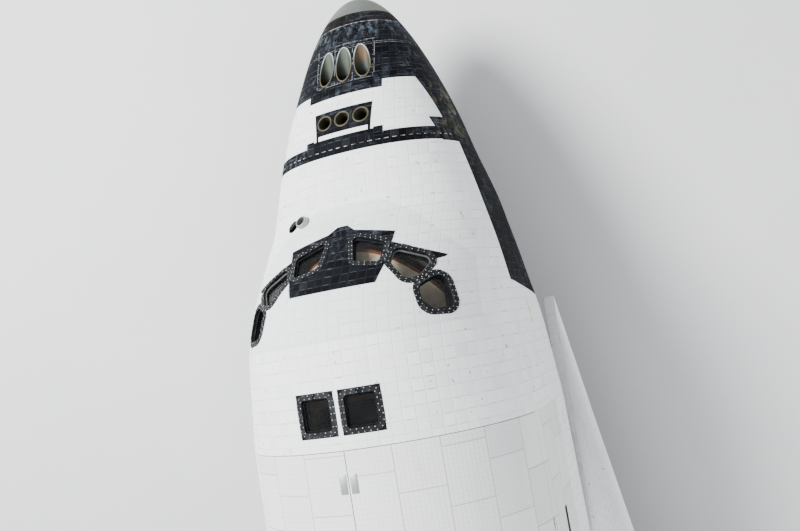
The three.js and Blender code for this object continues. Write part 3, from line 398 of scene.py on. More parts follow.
def upperCloth(folded, black):
    return (folded.parts()[2] - 2.15).crisp() * (1.0 - black)


# Tiles, with blankets where cloth says so. Zone and cloth are a function of the place, or one number.
def tiledMaterial(name, zone, cloth=None, wear=0.5, weather=None):
    material, tree, shader = newMaterial(name, spec=0.12)
    at = useGroup(tree, airframePoint)
    place = {"Place": put(tree, "ShaderNodeUVMap", uv_map="skin")[0], "Point": at["Point"]}
    black = zone(at["Folded"]) if callable(zone) else zone
    tiles = useGroup(tree, tileArray, {**place, "Black": black, "Wear": wear})
    colour, rough, height = (tiles[label] for label in surfaceOutputs)
    if cloth:
        quilt = useGroup(tree, quiltedBlanket, place)
        soft = cloth(at["Folded"], black) if callable(cloth) else cloth
        colour = mix(soft, colour, quilt["Colour"])
        rough, height = (mixValue(soft, a, quilt[b]) for a, b in ((rough, "Roughness"), (height, "Height")))
    if weather:
        colour = weather(at, black, colour)
    dress(shader, colour, rough, height, 0.0035)
    return material


def plainMaterial(name, colour, other, rough, metal=0.0, scale=2.0, low=0.45, high=0.75, depth=0.0006, **constants):
    material, tree, shader = newMaterial(name, Metallic=metal, **constants)
    marks = useGroup(tree, grimeAndGrain, {"Scale": scale, "Low": low, "High": high})
    shade = (rough - 0.06) + marks["Grain"] * 0.12 + marks["Patch"] * 0.12
    dress(shader, mix(marks["Patch"], colour, other), shade, marks["Grain"], depth)
    return material


# Colours that change along one axis of the airframe: soot and heat marks, painted shade deep in bowls, holes and
# the cabin, and a painted highlight on the forward thruster rims
def stainedMaterial(name, axis, stops, metal=0.2, rough=0.5):
    material, tree, shader = newMaterial(name, Metallic=metal)
    marks = useGroup(tree, grimeAndGrain, {"Scale": 7.0, "Low": 0.3, "High": 0.8})
    along = useGroup(tree, airframePoint)["Point"].parts()[axis] + marks["Patch"] * 0.04
    colour = stops[0][1]
    for (low, _), (high, shade) in zip(stops, stops[1:]):
        colour = mix(along.rise(low, high), colour, shade)
    dress(shader, colour, rough + marks["Grain"] * 0.15, marks["Grain"], 0.0006)
    return material


# Meshes. Points are station, port distance and height in metres, and are turned into the row frame last.
def addObject(name, mesh):
    piece = bpy.data.objects.new(name, mesh)
    scene.collection.objects.link(piece)
    return piece


def sharpen(mesh, angle=35.0):
    mesh.shade_smooth()
    mesh.set_sharp_from_angle(angle=radians(angle))


def throughPoints(xs, ys):
    # a smooth curve through the points, which never swings past them
    xs, ys = np.asarray(xs, float), np.asarray(ys, float)
    steps, slopes = np.diff(xs), np.diff(ys) / np.diff(xs)
    tangents = np.r_[slopes[0], np.zeros(len(xs) - 2), slopes[-1]]
    for i in range(1, len(xs) - 1):
        (a, b), (ha, hb) = slopes[i - 1 : i + 1], steps[i - 1 : i + 1]
        if a * b > 0:
            tangents[i] = 3 * (ha + hb) / ((2 * hb + ha) / a + (hb + 2 * ha) / b)

    def curve(x):
        i = np.clip(np.searchsorted(xs, x) - 1, 0, len(xs) - 2)
        h, t = steps[i], (x - xs[i]) / steps[i]
        return float(
            (2 * t**3 - 3 * t**2 + 1) * ys[i] + (t**3 - 2 * t**2 + t) * h * tangents[i]
            + (3 * t**2 - 2 * t**3) * ys[i + 1] + (t**3 - t**2) * h * tangents[i + 1]
        )

    return curve


def looked(table, at, *columns):
    return [float(np.interp(at, [row[0] for row in table], [row[k] for row in table])) for k in columns]


# Fuselage sections: station, half width, top, bottom, height of the greatest width, upper and lower power
fuselageTable = np.array([
    [0.0, 0.0, 1.85, 1.85, 1.85, 2.0, 2.0],
    [0.229, 0.49, 2.33, 1.45, 1.88, 2.0, 2.0],
    [0.66, 0.83, 2.69, 1.19, 1.93, 2.0, 2.1],
    [1.118, 1.082, 2.96, 0.98, 1.98, 2.05, 2.2],
    [1.796, 1.373, 3.24, 0.77, 2.06, 2.1, 2.5],
    [2.921, 1.74, 3.75, 0.59, 2.18, 2.2, 2.9],
    [3.607, 1.905, 4.01, 0.5, 2.25, 2.26, 3.2],
    [4.674, 2.175, 4.26, 0.38, 2.32, 2.26, 3.8],
    [5.15, 2.26, 4.68, 0.33, 2.4, 2.26, 4.0],
    [5.65, 2.35, 5.1, 0.28, 2.5, 2.26, 4.3],
    [6.2, 2.43, 5.565, 0.23, 2.65, 2.26, 4.8],
    [6.96, 2.545, 5.85, 0.165, 2.85, 2.22, 5.4],
    [7.976, 2.625, 5.918, 0.1, 3.2, 2.05, 6.2],
    [8.788, 2.667, 5.918, 0.06, 3.378, 2.0, 7.0],
    [12.0, 2.667, 5.918, 0.0, 3.378, 2.0, 8.0],
    [27.203, 2.667, 5.918, 0.0, 3.378, 2.0, 8.0],
    [29.8, 2.79, 5.918, 0.06, 3.1, 2.0, 8.0],
    [32.385, 2.98, 5.918, 0.3, 2.8, 2.1, 8.0],
    [33.5, 3.0, 5.918, 0.33, 2.8, 2.1, 8.0],
])
fuselageCurves = [throughPoints(np.sqrt(fuselageTable[:, 0]), fuselageTable[:, k]) for k in range(1, 7)]


def sectionAt(station):
    return [curve(sqrt(max(station, 0.0))) for curve in fuselageCurves]


def topHeight(station, y):
    half, top, _, wide, upper, _ = sectionAt(station)
    return wide + (top - wide) * max(0.0, 1 - abs(y / half) ** upper) ** (1 / upper)


def heightShare(station, z):
    half, top, bottom, wide, upper, lower = sectionAt(station)
    reach, power = (top - wide, upper) if z > wide else (wide - bottom, lower)
    return half, power, abs((z - wide) / reach) ** power


def sideDistance(station, z):
    half, power, share = heightShare(station, z)
    return half * max(0.0, 1 - share) ** (1 / power)


def skinLevel(station, y, z):
    half, power, share = heightShare(station, z)
    return (abs(y) / half) ** power + share


def skinNormal(station, y, z):
    place, steps = np.array([station, y, z]), np.eye(3) * 0.01
    return unit([skinLevel(*(place + step)) - skinLevel(*(place - step)) for step in steps])


def skinRow(points, closed=False):
    path = np.array([(s, y, topHeight(s, y)) for s, y in points])
    return path, np.array([skinNormal(*p) for p in path]), closed


def lastBefore(isBeyond, low, high):
    for _ in range(40):
        middle = (low + high) / 2
        low, high = (low, middle) if isBeyond(middle) else (middle, high)
    return low


def skinRing(station, grow=0.0, count=192):
    half, top, bottom, wide, upper, lower = sectionAt(station)
    angle = np.linspace(pi / 2, -pi / 2, 721)
    c, s = np.clip(np.cos(angle), 0, 1), np.sin(angle)
    power = np.where(s >= 0, 2 / upper, 2 / lower)
    y = (half + grow) * c**power
    z = wide + np.where(s >= 0, top + grow - wide, wide - bottom + grow) * np.sign(s) * np.abs(s) ** power
    run = np.r_[0, np.cumsum(np.hypot(np.diff(y), np.diff(z)))]
    stops = np.linspace(0, run[-1], count // 2 + 1)
    yy, zz = np.interp(stops, run, y), np.interp(stops, run, z)
    yy[0] = yy[-1] = 0
    ring = np.stack([np.full(count, station), np.r_[yy, -yy[-2:0:-1]], np.r_[zz, zz[-2:0:-1]]], -1)
    return ring, stops


def gapsOf(rings):
    return [np.linalg.norm(b - a, axis=1).mean() for a, b in zip(rings, rings[1:])]


def meridianLength(front, back):
    return sum(gapsOf([skinRing(s, 0, 48)[0] for s in np.linspace(front, back, 40)]))


def joinRings(rings, material, uvs, kinds, smooth=35.0, closed=False):
    total, count, points = len(rings), len(rings[0]), np.concatenate(rings)
    faces = []
    for r in range(total if closed else total - 1):
        a, b = r * count, (r + 1) % total * count
        faces += [(a + j, a + (j + 1) % count, b + (j + 1) % count, b + j) for j in range(count)]
    for cap in () if closed else (range(count)[::-1], range(len(points) - count, len(points))):
        faces.append(tuple(cap))
        uvs.append([(points[i][1], points[i][2]) for i in cap])
        kinds.append(0)
    placed = toRow(points)
    corners = np.array([(face[0], face[k], face[k + 1]) for face in faces for k in range(1, len(face) - 1)])
    a, b, c = placed[corners].transpose(1, 0, 2)
    if np.sum(a * np.cross(b, c)) < 0:  # inside out
        faces, uvs = [face[::-1] for face in faces], [row[::-1] for row in uvs]
    mesh = bpy.data.meshes.new("solid")
    mesh.from_pydata(placed.tolist(), [], faces)
    for item in material if isinstance(material, (list, tuple)) else [material]:
        mesh.materials.append(item)
    mesh.polygons.foreach_set("material_index", kinds)
    layer = mesh.uv_layers.new(name="skin")
    layer.data.foreach_set("uv", np.array([corner for row in uvs for corner in row], np.float32).ravel())
    sharpen(mesh, smooth)
    return addObject("solid", mesh)


bandStation = 3.485  # the rows of tiles count from here


# A closed length of the airframe's own skin, with grooves as place, half width, depth and kind
def hull(front, back, step, material, grow=0.0, count=288, chamfer=0.0, grooves=(), first=()):
    stations = [*first, *np.linspace(front, back, max(2, round((back - front) / step) + 1))]
    levels = [(s, grow, 0) for s in stations if all(abs(s - g[0]) > g[1] + 0.004 for g in grooves)]
    for place, half, depth, kind in grooves:
        levels += [(place - half, grow, 0), (place - half + 0.002, grow - depth, kind)]
        levels += [(place + half - 0.002, grow - depth, 0), (place + half, grow, 0)]
    levels.sort()
    if chamfer:
        levels = [(front, grow - chamfer, 0), (front + chamfer, grow, 0)] + levels[1:-1]
        levels += [(back - chamfer, grow, 0), (back, grow - chamfer, 0)]
    stations, grows, bands = zip(*levels)
    rings, girths = zip(*(skinRing(s, g, count) for s, g in zip(stations, grows)))
    along = np.r_[0, np.cumsum(gapsOf(rings))]
    if stations[0] < bandStation < stations[-1]:
        along -= np.interp(bandStation, stations, along)
    elif stations[0] >= bandStation:
        along += meridianLength(bandStation, stations[0])
    else:
        along -= along[-1] + meridianLength(stations[-1], bandStation)
    uvs = []
    for u0, u1, low, high in zip(along, along[1:], girths, girths[1:]):
        for j in range(count):
            a, b, side = (j, j + 1, 1) if j < count // 2 else (count - j, count - j - 1, -1)
            uvs.append([(u0, side * low[a]), (u0, side * low[b]), (u1, side * high[b]), (u1, side * high[a])])
    return joinRings(rings, material, uvs, [band for band in bands[:-1] for _ in range(count)])


def loft(rings, material=(), smooth=35.0, closed=False, kindOf=None):
    rings = [np.asarray(ring, float) for ring in rings]
    total, count = len(rings), len(rings[0])
    along = np.r_[0, np.cumsum(gapsOf(rings + rings[:1]))]
    uvs, kinds = [], []
    for r in range(total if closed else total - 1):
        loop = np.concatenate([rings[r], rings[r][:1]])
        around = np.r_[0, np.cumsum(np.linalg.norm(np.diff(loop, axis=0), axis=1))]
        for j in range(count):
            u0, u1, v0, v1 = along[r], along[r + 1], around[j], around[j + 1]
            uvs.append([(u0, v0), (u0, v1), (u1, v1), (u1, v0)])
            kinds.append(kindOf(r, j) if kindOf else 0)
    return joinRings(rings, material, uvs, kinds, smooth, closed)


def box(front, back, y0, y1, z0, z1, material=(), bevel=0.0):
    y0, y1 = sorted((y0, y1))
    piece = loft([[(s, y0, z0), (s, y1, z0), (s, y1, z1), (s, y0, z1)] for s in (front, back)], material)
    return soften(piece, bevel) if bevel else piece


def frameAlong(direction):
    direction = unit(direction)
    across = unit(np.cross((0, 0, 1) if abs(direction[2]) < 0.9 else (0, 1, 0), direction))
    return across, np.cross(direction, across)


def circleAcross(across, over, sides, flat=1.0):
    return np.outer(np.cos(turnsOf(sides)), across) + flat * np.outer(np.sin(turnsOf(sides)), over)


# A profile of distance and radius, turned about a line
def turned(start, direction, profile, material=(), sides=48, smooth=35.0, hollow=False):
    start, direction = np.asarray(start, float), unit(direction)
    rim = circleAcross(*frameAlong(direction), sides)
    rings = [start + direction * distance + rim * max(radius, 1e-4) for distance, radius in profile]
    return loft(rings, material, smooth, hollow)


def bar(start, end, radius, material, sides=32, endRadius=None):
    line = np.subtract(end, start)
    profile = [(0, radius), (float(np.linalg.norm(line)), radius if endRadius is None else endRadius)]
    return turned(start, line, profile, material, sides)


def tube(path, radius, material, sides=10, closed=False, flat=1.0):
    path = np.asarray(path, float)
    tangents = np.roll(path, -1, 0) - np.roll(path, 1, 0) if closed else np.gradient(path, axis=0)
    tangents /= np.linalg.norm(tangents, axis=1)[:, None]
    across, _ = frameAlong(tangents[0])
    rings = []
    for point, tangent in zip(path, tangents):
        across = unit(across - tangent * np.dot(across, tangent))
        rings.append(point + radius * circleAcross(across, np.cross(tangent, across), sides, flat))
    if closed:
        # turn the rings back over the loop, so that the last meets the first
        final, first = across - tangents[0] * np.dot(across, tangents[0]), rings[0][0] - path[0]
        twist = atan2(np.dot(final, np.cross(tangents[0], first)) / radius, np.dot(final, first))
        shift = round(twist / (2 * pi) * sides)
        rings = [np.roll(ring, round(shift * i / len(rings)), 0) for i, ring in enumerate(rings)]
    return loft(rings, material, 60.0, closed)


def bake(piece):
    graph = bpy.context.evaluated_depsgraph_get()
    live = piece.evaluated_get(graph)
    mesh = bpy.data.meshes.new_from_object(live, preserve_all_data_layers=True, depsgraph=graph)
    old = piece.data
    piece.modifiers.clear()
    piece.data = mesh
    bpy.data.meshes.remove(old)
    return piece


def discard(pieces):
    for piece in pieces:
        mesh = piece.data
        bpy.data.objects.remove(piece)
        bpy.data.meshes.remove(mesh)


def carve(piece, cutters, operation="DIFFERENCE"):
    for cutter in cutters:
        change = piece.modifiers.new("carve", "BOOLEAN")
        change.object, change.operation = cutter, operation
        change.solver, change.material_mode = "MANIFOLD", "TRANSFER"
    bake(piece)
    discard(cutters)
    sharpen(piece.data)
    return piece


def soften(piece, width):
    change = piece.modifiers.new("soften", "BEVEL")
    change.width, change.segments, change.harden_normals = width, 2, False
    change.limit_method, change.angle_limit = "ANGLE", radians(30)
    sharpen(bake(piece).data, 40)
    return piece


def merged(pieces):
    mesh = bpy.data.meshes.new("merged")
    whole = bmesh.new()
    whole.loops.layers.uv.new("skin")
    materials = []
    for piece in pieces:
        slots = []
        for material in piece.data.materials:
            if material not in materials:
                materials.append(material)
            slots.append(materials.index(material))
        firstFace = len(whole.faces)
        whole.from_mesh(piece.data)
        whole.faces.ensure_lookup_table()
        for face in whole.faces[firstFace:]:
            face.material_index = slots[face.material_index]
    whole.to_mesh(mesh)
    whole.free()
    for material in materials:
        mesh.materials.append(material)
    discard(pieces)
    return addObject("merged", mesh)


# Names a piece, or several made one, ties it to a body, and hides the nodes it stands for
def settle(name, piece, slot, *nodes, body="airframe"):
    piece = merged(piece) if isinstance(piece, list) else piece
    piece.name = piece.data.name = name
    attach(piece, body)
    if nodes:
        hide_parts(*nodes)


# A piece of the port side, and its mirror image
def settlePair(name, piece, slot, node, body="airframe"):
    piece = merged(piece) if isinstance(piece, list) else piece
    mesh = piece.data.copy()
    mesh.transform(Matrix.Scale(-1, 4, Vector((0, 1, 0))))
    mesh.flip_normals()
    for side, half in (("left", piece), ("right", addObject("mirrored", mesh))):
        settle(name + side.title(), half, slot, node.format(side), body=body.format(side))


# Geometry Nodes: both trees take a mesh and a material, and end in real geometry with that material
def newGeometryTree(name, inputs):
    inputs = {"Geometry": ("Geometry", None), **inputs, "Material": ("Material", None)}
    return newTree(name, "Geometry", inputs, {"Geometry": "Geometry"})


def finishTree(tree, get, out, values):
    placed = put(tree, "GeometryNodeInstanceOnPoints", values)[0]
    solid = put(tree, "GeometryNodeRealizeInstances", {0: placed})[0]
    plug(put(tree, "GeometryNodeSetMaterial", {"Geometry": solid, "Material": get["Material"]})[0], out[0])
    return tree


# Rows of small domed fasteners along the edges of a path mesh, whose points carry an "up" direction
def makeRivetTree():
    values = {"Spacing": ("Float", 0.05), "Radius": ("Float", 0.01), "Height": ("Float", 0.006)}
    tree, get, out = newGeometryTree("rivetRows", values)
    curve = put(tree, "GeometryNodeMeshToCurve", {"Mesh": get["Geometry"]})[0]
    spots = put(tree, "GeometryNodeResampleCurve", {"Curve": curve, "Length": get["Spacing"]}, mode="LENGTH")[0]
    ball = put(tree, "GeometryNodeMeshUVSphere", {"Segments": 8, "Rings": 5, "Radius": 1.0})[0]
    up = put(tree, "GeometryNodeInputNamedAttribute", {"Name": "up"}, data_type="FLOAT_VECTOR")[0]
    turn = put(tree, "FunctionNodeAlignRotationToVector", {"Vector": up}, axis="Z")[0]
    size = combine(get["Radius"], get["Radius"], get["Height"])
    return finishTree(tree, get, out, {"Points": spots, "Instance": ball, "Rotation": turn, "Scale": size})


# Copies of one shape, stepped along a line or turned about an axis through a centre
def makeCopiesTree():
    vectors = {label: ("Vector", None) for label in ("Centre", "Step", "Axis")}
    tree, get, out = newGeometryTree("steppedCopies", {"Count": ("Int", 4), **vectors, "Turn": ("Float", 0.0)})
    home = get["Centre"].vector("MULTIPLY", (-1, -1, -1))
    shape = put(tree, "GeometryNodeTransform", {"Geometry": get["Geometry"], "Translation": home})[0]
    values = {"Count": get["Count"], "Start Location": get["Centre"], "Offset": get["Step"]}
    line = put(tree, "GeometryNodeMeshLine", values, mode="OFFSET")[0]
    angle = put(tree, "GeometryNodeInputIndex")[0] * get["Turn"]
    turn = put(tree, "FunctionNodeAxisAngleToRotation", {"Axis": get["Axis"], "Angle": angle})[0]
    return finishTree(tree, get, out, {"Points": line, "Instance": shape, "Rotation": turn})


rivetTree, copiesTree = makeRivetTree(), makeCopiesTree()


def runTree(piece, tree, values):
    change = piece.modifiers.new("build", "NODES")
    change.node_group = tree
    for item in tree.interface.items_tree:
        if item.in_out == "INPUT" and item.name in values:
            change[item.identifier] = values[item.name]
    return bake(piece)


def copies(piece, count, material, step=(0, 0, 0), centre=None, axis=(0, 0, 1), turn=0.0):
    values = {label: tuple(rowVector(-v[0], v[1], v[2])) for label, v in (("Step", step), ("Axis", axis))}
    values["Centre"] = (0, 0, 0) if centre is None else tuple(toRow(centre))
    return runTree(piece, copiesTree, {**values, "Count": count, "Material": material, "Turn": turn})


def rivetRows(paths, spacing, radius, height):
    points, edges, ups = [], [], []
    for path, up, closed in paths:
        first, last = len(points), len(points) + len(path) - 1
        points += toRow(path).tolist()
        ups += [rowVector(-n[0], n[1], n[2]) for n in np.broadcast_to(up, np.shape(path))]
        edges += [(i, i + 1) for i in range(first, last)] + ([(last, first)] if closed else [])
    mesh = bpy.data.meshes.new("rows")
    mesh.from_pydata(points, edges, [])
    mesh.attributes.new("up", "FLOAT_VECTOR", "POINT").data.foreach_set("vector", np.array(ups, np.float32).ravel())
    values = {"Spacing": spacing, "Radius": radius, "Height": height, "Material": rivetPale}
    piece = runTree(addObject("rows", mesh), rivetTree, values)
    piece.data.shade_smooth()
    return piece


# Finishes used all over the airframe
forwardTiles = tiledMaterial("forwardTiles", noseBlack, wear=0.75, weather=noseWeather)
blackTiles = tiledMaterial("blackTiles", 1.0)
whiteTiles = tiledMaterial("whiteTiles", 0.0)
noseCarbon = plainMaterial(
    "noseCarbon", (0.125, 0.14, 0.125), (0.19, 0.205, 0.18), 0.5, scale=1.7, depth=0.0012, spec=0.4
)
edgeCarbon = plainMaterial("edgeCarbon", (0.17, 0.175, 0.175), (0.25, 0.25, 0.245), 0.52, scale=1.2, depth=0.0012)
jointDark = plainMaterial("jointDark", (0.015, 0.015, 0.016), (0.03, 0.03, 0.03), 0.8)
jointPale = plainMaterial("jointPale", (0.36, 0.37, 0.35), (0.05, 0.05, 0.05), 0.6, scale=13.0, low=0.42, high=0.56)
wellPaint = plainMaterial("wellPaint", (0.34, 0.37, 0.3), (0.22, 0.23, 0.2), 0.6, scale=1.2)
cabinDark = plainMaterial("cabinDark", (0.02, 0.02, 0.021), (0.045, 0.042, 0.038), 0.75, scale=5.0)
cabinTan = plainMaterial("cabinTan", (0.86, 0.77, 0.58), (0.62, 0.51, 0.34), 0.8, scale=5.0, depth=0.002)
cabinRust = plainMaterial("cabinRust", (0.36, 0.12, 0.05), (0.24, 0.08, 0.035), 0.8, scale=6.0)
# the cabin's inner walls are painted near black ahead of station 5.5, as painted shade deep in the cabin, and tan
# behind
cabinWall = stainedMaterial("cabinWall", 0, [(5.5, (0.018, 0.018, 0.018)), (5.85, (0.4, 0.38, 0.33))], 0.0, 0.75)
frameBlack = plainMaterial(
    "frameBlack", (0.012, 0.013, 0.015), (0.06, 0.065, 0.07), 0.6, scale=11.0, low=0.5, spec=0.3
)
retainerGrey = plainMaterial("retainerGrey", (0.4, 0.42, 0.42), (0.33, 0.345, 0.345), 0.45, 0.5, scale=3.0)
retainerDark = plainMaterial("retainerDark", (0.015, 0.016, 0.018), (0.035, 0.037, 0.04), 0.85, scale=8.0, spec=0.1)
retainerGreen = plainMaterial("retainerGreen", (0.085, 0.095, 0.09), (0.13, 0.14, 0.13), 0.75, scale=8.0, spec=0.2)
rivetPale = plainMaterial("rivetPale", (0.62, 0.63, 0.62), (0.12, 0.12, 0.12), 0.6, scale=13.0, low=0.42, high=0.62)
steelBright = plainMaterial("steelBright", (0.55, 0.56, 0.56), (0.4, 0.39, 0.37), 0.32, 1.0, scale=5.0)
glassMaterial, glassTree, glassShader = newMaterial(
    "windowGlass", spec=0.9, coat=0.6, coatRough=0.02, Alpha=0.2, Roughness=0.04, IOR=1.52
)
glassMarks = useGroup(glassTree, grimeAndGrain, {"Scale": 3.0, "Low": 0.35, "High": 0.8})
plug(mix(glassMarks["Patch"], (0.008, 0.01, 0.012), (0.035, 0.034, 0.03)), glassShader["Base Color"])
print("finishes ready")

# Nose cap
capSettings = {"end": 0.533, "step": 0.022, "tip": (0.0015, 0.006, 0.014)}
noseCap = hull(0.026, capSettings["end"], capSettings["step"], noseCarbon, count=192, first=capSettings["tip"])
settle("noseCap", noseCap, "carbon", "nose_cap")

# Thrusters of the forward module: where each stands and the profile of the bowl that is cut out
forwardThrusters = {
    "station": 1.75, "ys": (-0.372, 0.0, 0.372), "radius": 0.158,
    "bowl": [(0, 0.158), (0.8, 0.158), (0.9, 0.148), (1.02, 0.105), (1.1, 0.06), (1.3, 0.05)],
}
upThrusters = {
    "station": 2.921, "ys": (-0.366, 0.0, 0.366), "radius": 0.132,
    "bowl": [(0, 0.132), (0.19, 0.132), (0.27, 0.115), (0.4, 0.07), (0.47, 0.05), (0.6, 0.045)],
}
sideThrusters = {
    "places": ((3.215, 2.71), (3.251, 2.343)), "out": (0.1, 0.0), "way": (1.0, 0.0),
    "bowl": [(0, 0.125), (0.1, 0.125), (0.3, 0.07), (0.36, 0.05), (0.42, 0.045)],
}
downThrusters = {
    "places": ((2.489, 2.286), (2.845, 2.323)), "out": (0.12, -0.16), "way": (0.62, 0.78),
    "bowl": [(0, 0.135), (0.14, 0.125), (0.36, 0.075), (0.42, 0.05), (0.48, 0.045)],
}
# forward thruster bowls: a greenish lining, tan in the starboard one, turning near black towards the throat as
# painted shade deep in the bowl
ovalBowl = stainedMaterial("ovalBowl", 0, [
    (1.3, (0.115, 0.14, 0.115)), (1.62, (0.075, 0.092, 0.07)),
    (1.86, (0.045, 0.05, 0.038)), (1.97, (0.003, 0.003, 0.003)),
])
tanBowl = stainedMaterial("tanBowl", 0, [
    (1.3, (0.15, 0.105, 0.062)), (1.62, (0.12, 0.088, 0.052)),
    (1.82, (0.055, 0.066, 0.05)), (1.97, (0.003, 0.003, 0.003)),
])
# thruster rims: pale at the forward end as a painted highlight, grey in the middle, with a tan heat stain towards
# the aft end
ovalRim = stainedMaterial("ovalRim", 0, [
    (1.52, (0.42, 0.46, 0.44)), (1.72, (0.17, 0.18, 0.155)),
    (1.94, (0.125, 0.105, 0.06)), (2.1, (0.17, 0.135, 0.075)),
])
# upward thruster bowls: olive near the rim, near black deeper down as painted shade in the recess
roundBowl = stainedMaterial("roundBowl", 2, [
    (3.25, (0.006, 0.006, 0.006)), (3.5, (0.03, 0.026, 0.018)),
    (3.66, (0.085, 0.075, 0.05)), (3.74, (0.07, 0.065, 0.05)),
])
oliveRim = plainMaterial("oliveRim", (0.105, 0.098, 0.064), (0.04, 0.037, 0.028), 0.5, 0.2, scale=9.0)
lowBowl = plainMaterial("lowBowl", (0.13, 0.125, 0.1), (0.05, 0.05, 0.045), 0.5, 0.4, scale=6.0)
moduleCutters, moduleRims = [], []
station, radius = forwardThrusters["station"], forwardThrusters["radius"]
for y in forwardThrusters["ys"]:
    z = topHeight(station, y)
    lining = tanBowl if y < -0.1 else ovalBowl
    moduleCutters.append(turned((1.15, y, z), (1, 0, 0), forwardThrusters["bowl"], lining, 64))
    circle = [(y + radius * cos(t), z + radius * sin(t)) for t in turnsOf(72)]
    edge = [(lastBefore(lambda s: topHeight(s, py) > pz, 0.9, 2.6), py, pz) for py, pz in circle]
    moduleRims.append(tube(edge, 0.014, ovalRim, 8, True))
station, radius = upThrusters["station"], upThrusters["radius"] + 0.01
for y in upThrusters["ys"]:
    start = (station - 0.02, y, topHeight(station, y) + 0.2)
    moduleCutters.append(turned(start, (0.06, 0, -1), upThrusters["bowl"], roundBowl))
    circle = [(station - 0.008 + radius * sin(t), y + radius * cos(t)) for t in turnsOf(48)]
    moduleRims.append(tube(skinRow(circle)[0], 0.02, oliveRim, 8, True))
for side in (1, -1):
    for spec in (sideThrusters, downThrusters):
        for s, z in spec["places"]:
            start = (s, side * (sideDistance(s, z) + spec["out"][0]), z + spec["out"][1])
            inward = (0, -side * spec["way"][0], spec["way"][1])
            moduleCutters.append(turned(start, inward, spec["bowl"], lowBowl, 40))

noseWell = {"front": 1.9, "back": 3.9, "half": 0.56, "top": 1.65}
moduleJoints = [(0.808, 0.012, 0.004, 1), (1.345, 0.006, 0.003, 1), (1.385, 0.006, 0.003, 1)]


def noseWellCutter():
    w = noseWell
    return box(w["front"], w["back"], -w["half"], w["half"], -0.3, w["top"], wellPaint)


module = hull(0.5334, 3.485, 0.055, [forwardTiles, jointPale], chamfer=0.006, grooves=moduleJoints)
carve(module, moduleCutters + [noseWellCutter()])
settle("thrusterModule", module, "black_tile", "forward_thruster_module")
fitting = {
    "place": (1.905, -0.56),
    "profile": [(-0.02, 0.04), (0.006, 0.04), (0.01, 0.034), (0.01, 0.022), (-0.02, 0.022)],
}
path, normals, _ = skinRow([fitting["place"]])
moduleRims.append(turned(path[0], normals[0], fitting["profile"], oliveRim, 24, 30, True))
settle("thrusterRims", moduleRims, "gear_metal")
panelRows = [skinRow([(s, y) for y in np.linspace(-0.575, 0.575, 24)]) for s in (1.292, 2.108)]
panelRows += [skinRow([(s, y) for s in np.linspace(1.33, 2.07, 20)]) for y in (-0.575, 0.575)]
settle("thrusterRivets", rivetRows(panelRows, 0.115, 0.007, 0.004), "gear_metal")

# One pale gap filler in the middle of each tile of the thermal band
bandDash = {"station": 3.488, "tile": 0.152, "runs": (0.034, 0.122), "half": 0.0085, "proud": 0.003, "count": 15}
bandRing, bandStops = skinRing(bandDash["station"])
half = np.array([bandDash["half"], 0, 0])
dashes = []
for k in range(bandDash["count"]):
    for side in (1, -1):
        rings = []
        for run in bandDash["runs"]:
            y, z = (np.interp(bandDash["tile"] * k + run, bandStops, bandRing[: len(bandStops), i]) for i in (1, 2))
            place = np.array([bandDash["station"], side * y, z])
            lift = skinNormal(*place) * bandDash["proud"]
            rings.append([place - half - lift, place + half - lift, place + half + lift, place - half + lift])
        dashes.append(loft(rings, jointPale))
settle("bandDashes", dashes, "white_tile")
print("forward thruster module built")


# Cabin: windows with their frames, star trackers, hatch opening and the hollow behind them
panes = {
    "front": [(5.245, 0.25), (5.45, 0.835), (5.79, 0.79), (5.705, 0.34)],
    "middle": [(5.572, 0.998), (5.849, 1.611), (6.132, 1.432), (6.166, 1.223), (5.826, 0.947)],
    "side": [(6.094, 1.744), (6.741, 1.893), (6.699, 1.49), (6.284, 1.39)],
    "overhead": [(7.8, 0.13), (7.8, 0.64), (8.31, 0.64), (8.31, 0.13)],
}
paneSettings = {
    "corner": {"front": 0.07, "middle": 0.13, "side": 0.16, "overhead": 0.06},
    "frame": 0.1, "retainer": 0.028, "depth": 0.05, "glass": 0.016, "proud": 0.007,
    "dotRows": (0.022, 0.074), "dotSpacing": 0.102, "dotRadius": 0.0092, "dotHeight": 0.005,
}


def paneBasis(corners, side):
    points = np.array([(s, side * y, topHeight(s, y)) for s, y in corners])
    middle = points.mean(0)
    normal = unit(np.cross(points[1] - points[-1], points[2] - points[0]))
    normal = -normal if normal[2] < 0 else normal
    along = points[1] - points[0]
    along = unit(along - normal * np.dot(along, normal))
    over = np.cross(normal, along)
    return middle, along, over, normal, [(np.dot(p - middle, along), np.dot(p - middle, over)) for p in points]


# An outline moved out by some distance, with rounded corners
def offsetOutline(flat, out, corner, steps=6):
    area = sum(a[0] * b[1] - b[0] * a[1] for a, b in zip(flat, flat[1:] + flat[:1]))
    ring = [np.array(p) for p in (flat if area > 0 else flat[::-1])]
    lines, moved, outline, radius = [], [], [], max(corner + out, 0.012)
    for a, b in zip(ring, ring[1:] + ring[:1]):
        d = unit(b - a)
        lines.append((a + np.array([d[1], -d[0]]) * out, d))
    for (p, d), (q, e) in zip(lines[-1:] + lines[:-1], lines):
        moved.append(p + d * np.linalg.solve(np.array([d, -e]).T, q - p)[0])
    for i, p in enumerate(moved):
        before, after = unit(moved[i - 1] - p), unit(moved[(i + 1) % len(moved)] - p)
        half = acos(np.clip(np.dot(before, after), -1, 1)) / 2
        centre = p + unit(before + after) * radius / sin(half)
        start, end = (p + way * radius / tan(half) - centre for way in (before, after))
        outline += [centre + unit(start * (1 - t) + end * t) * radius for t in np.linspace(0, 1, steps)]
    return np.array(outline)


def refined(loop, gap):
    found = []
    for a, b in zip(loop, np.roll(loop, -1, 0)):
        count = max(1, int(np.linalg.norm(b - a) / gap))
        found += [a + (b - a) * t for t in np.arange(count) / count]
    return np.array(found)


def onSkin(points, normal, lift):
    found = []
    for p in points:
        q = p + normal * lastBefore(lambda reach: skinLevel(*(p + normal * reach)) > 1, -0.6, 0.6)
        found.append(q + skinNormal(*q) * lift)
    return np.array(found)


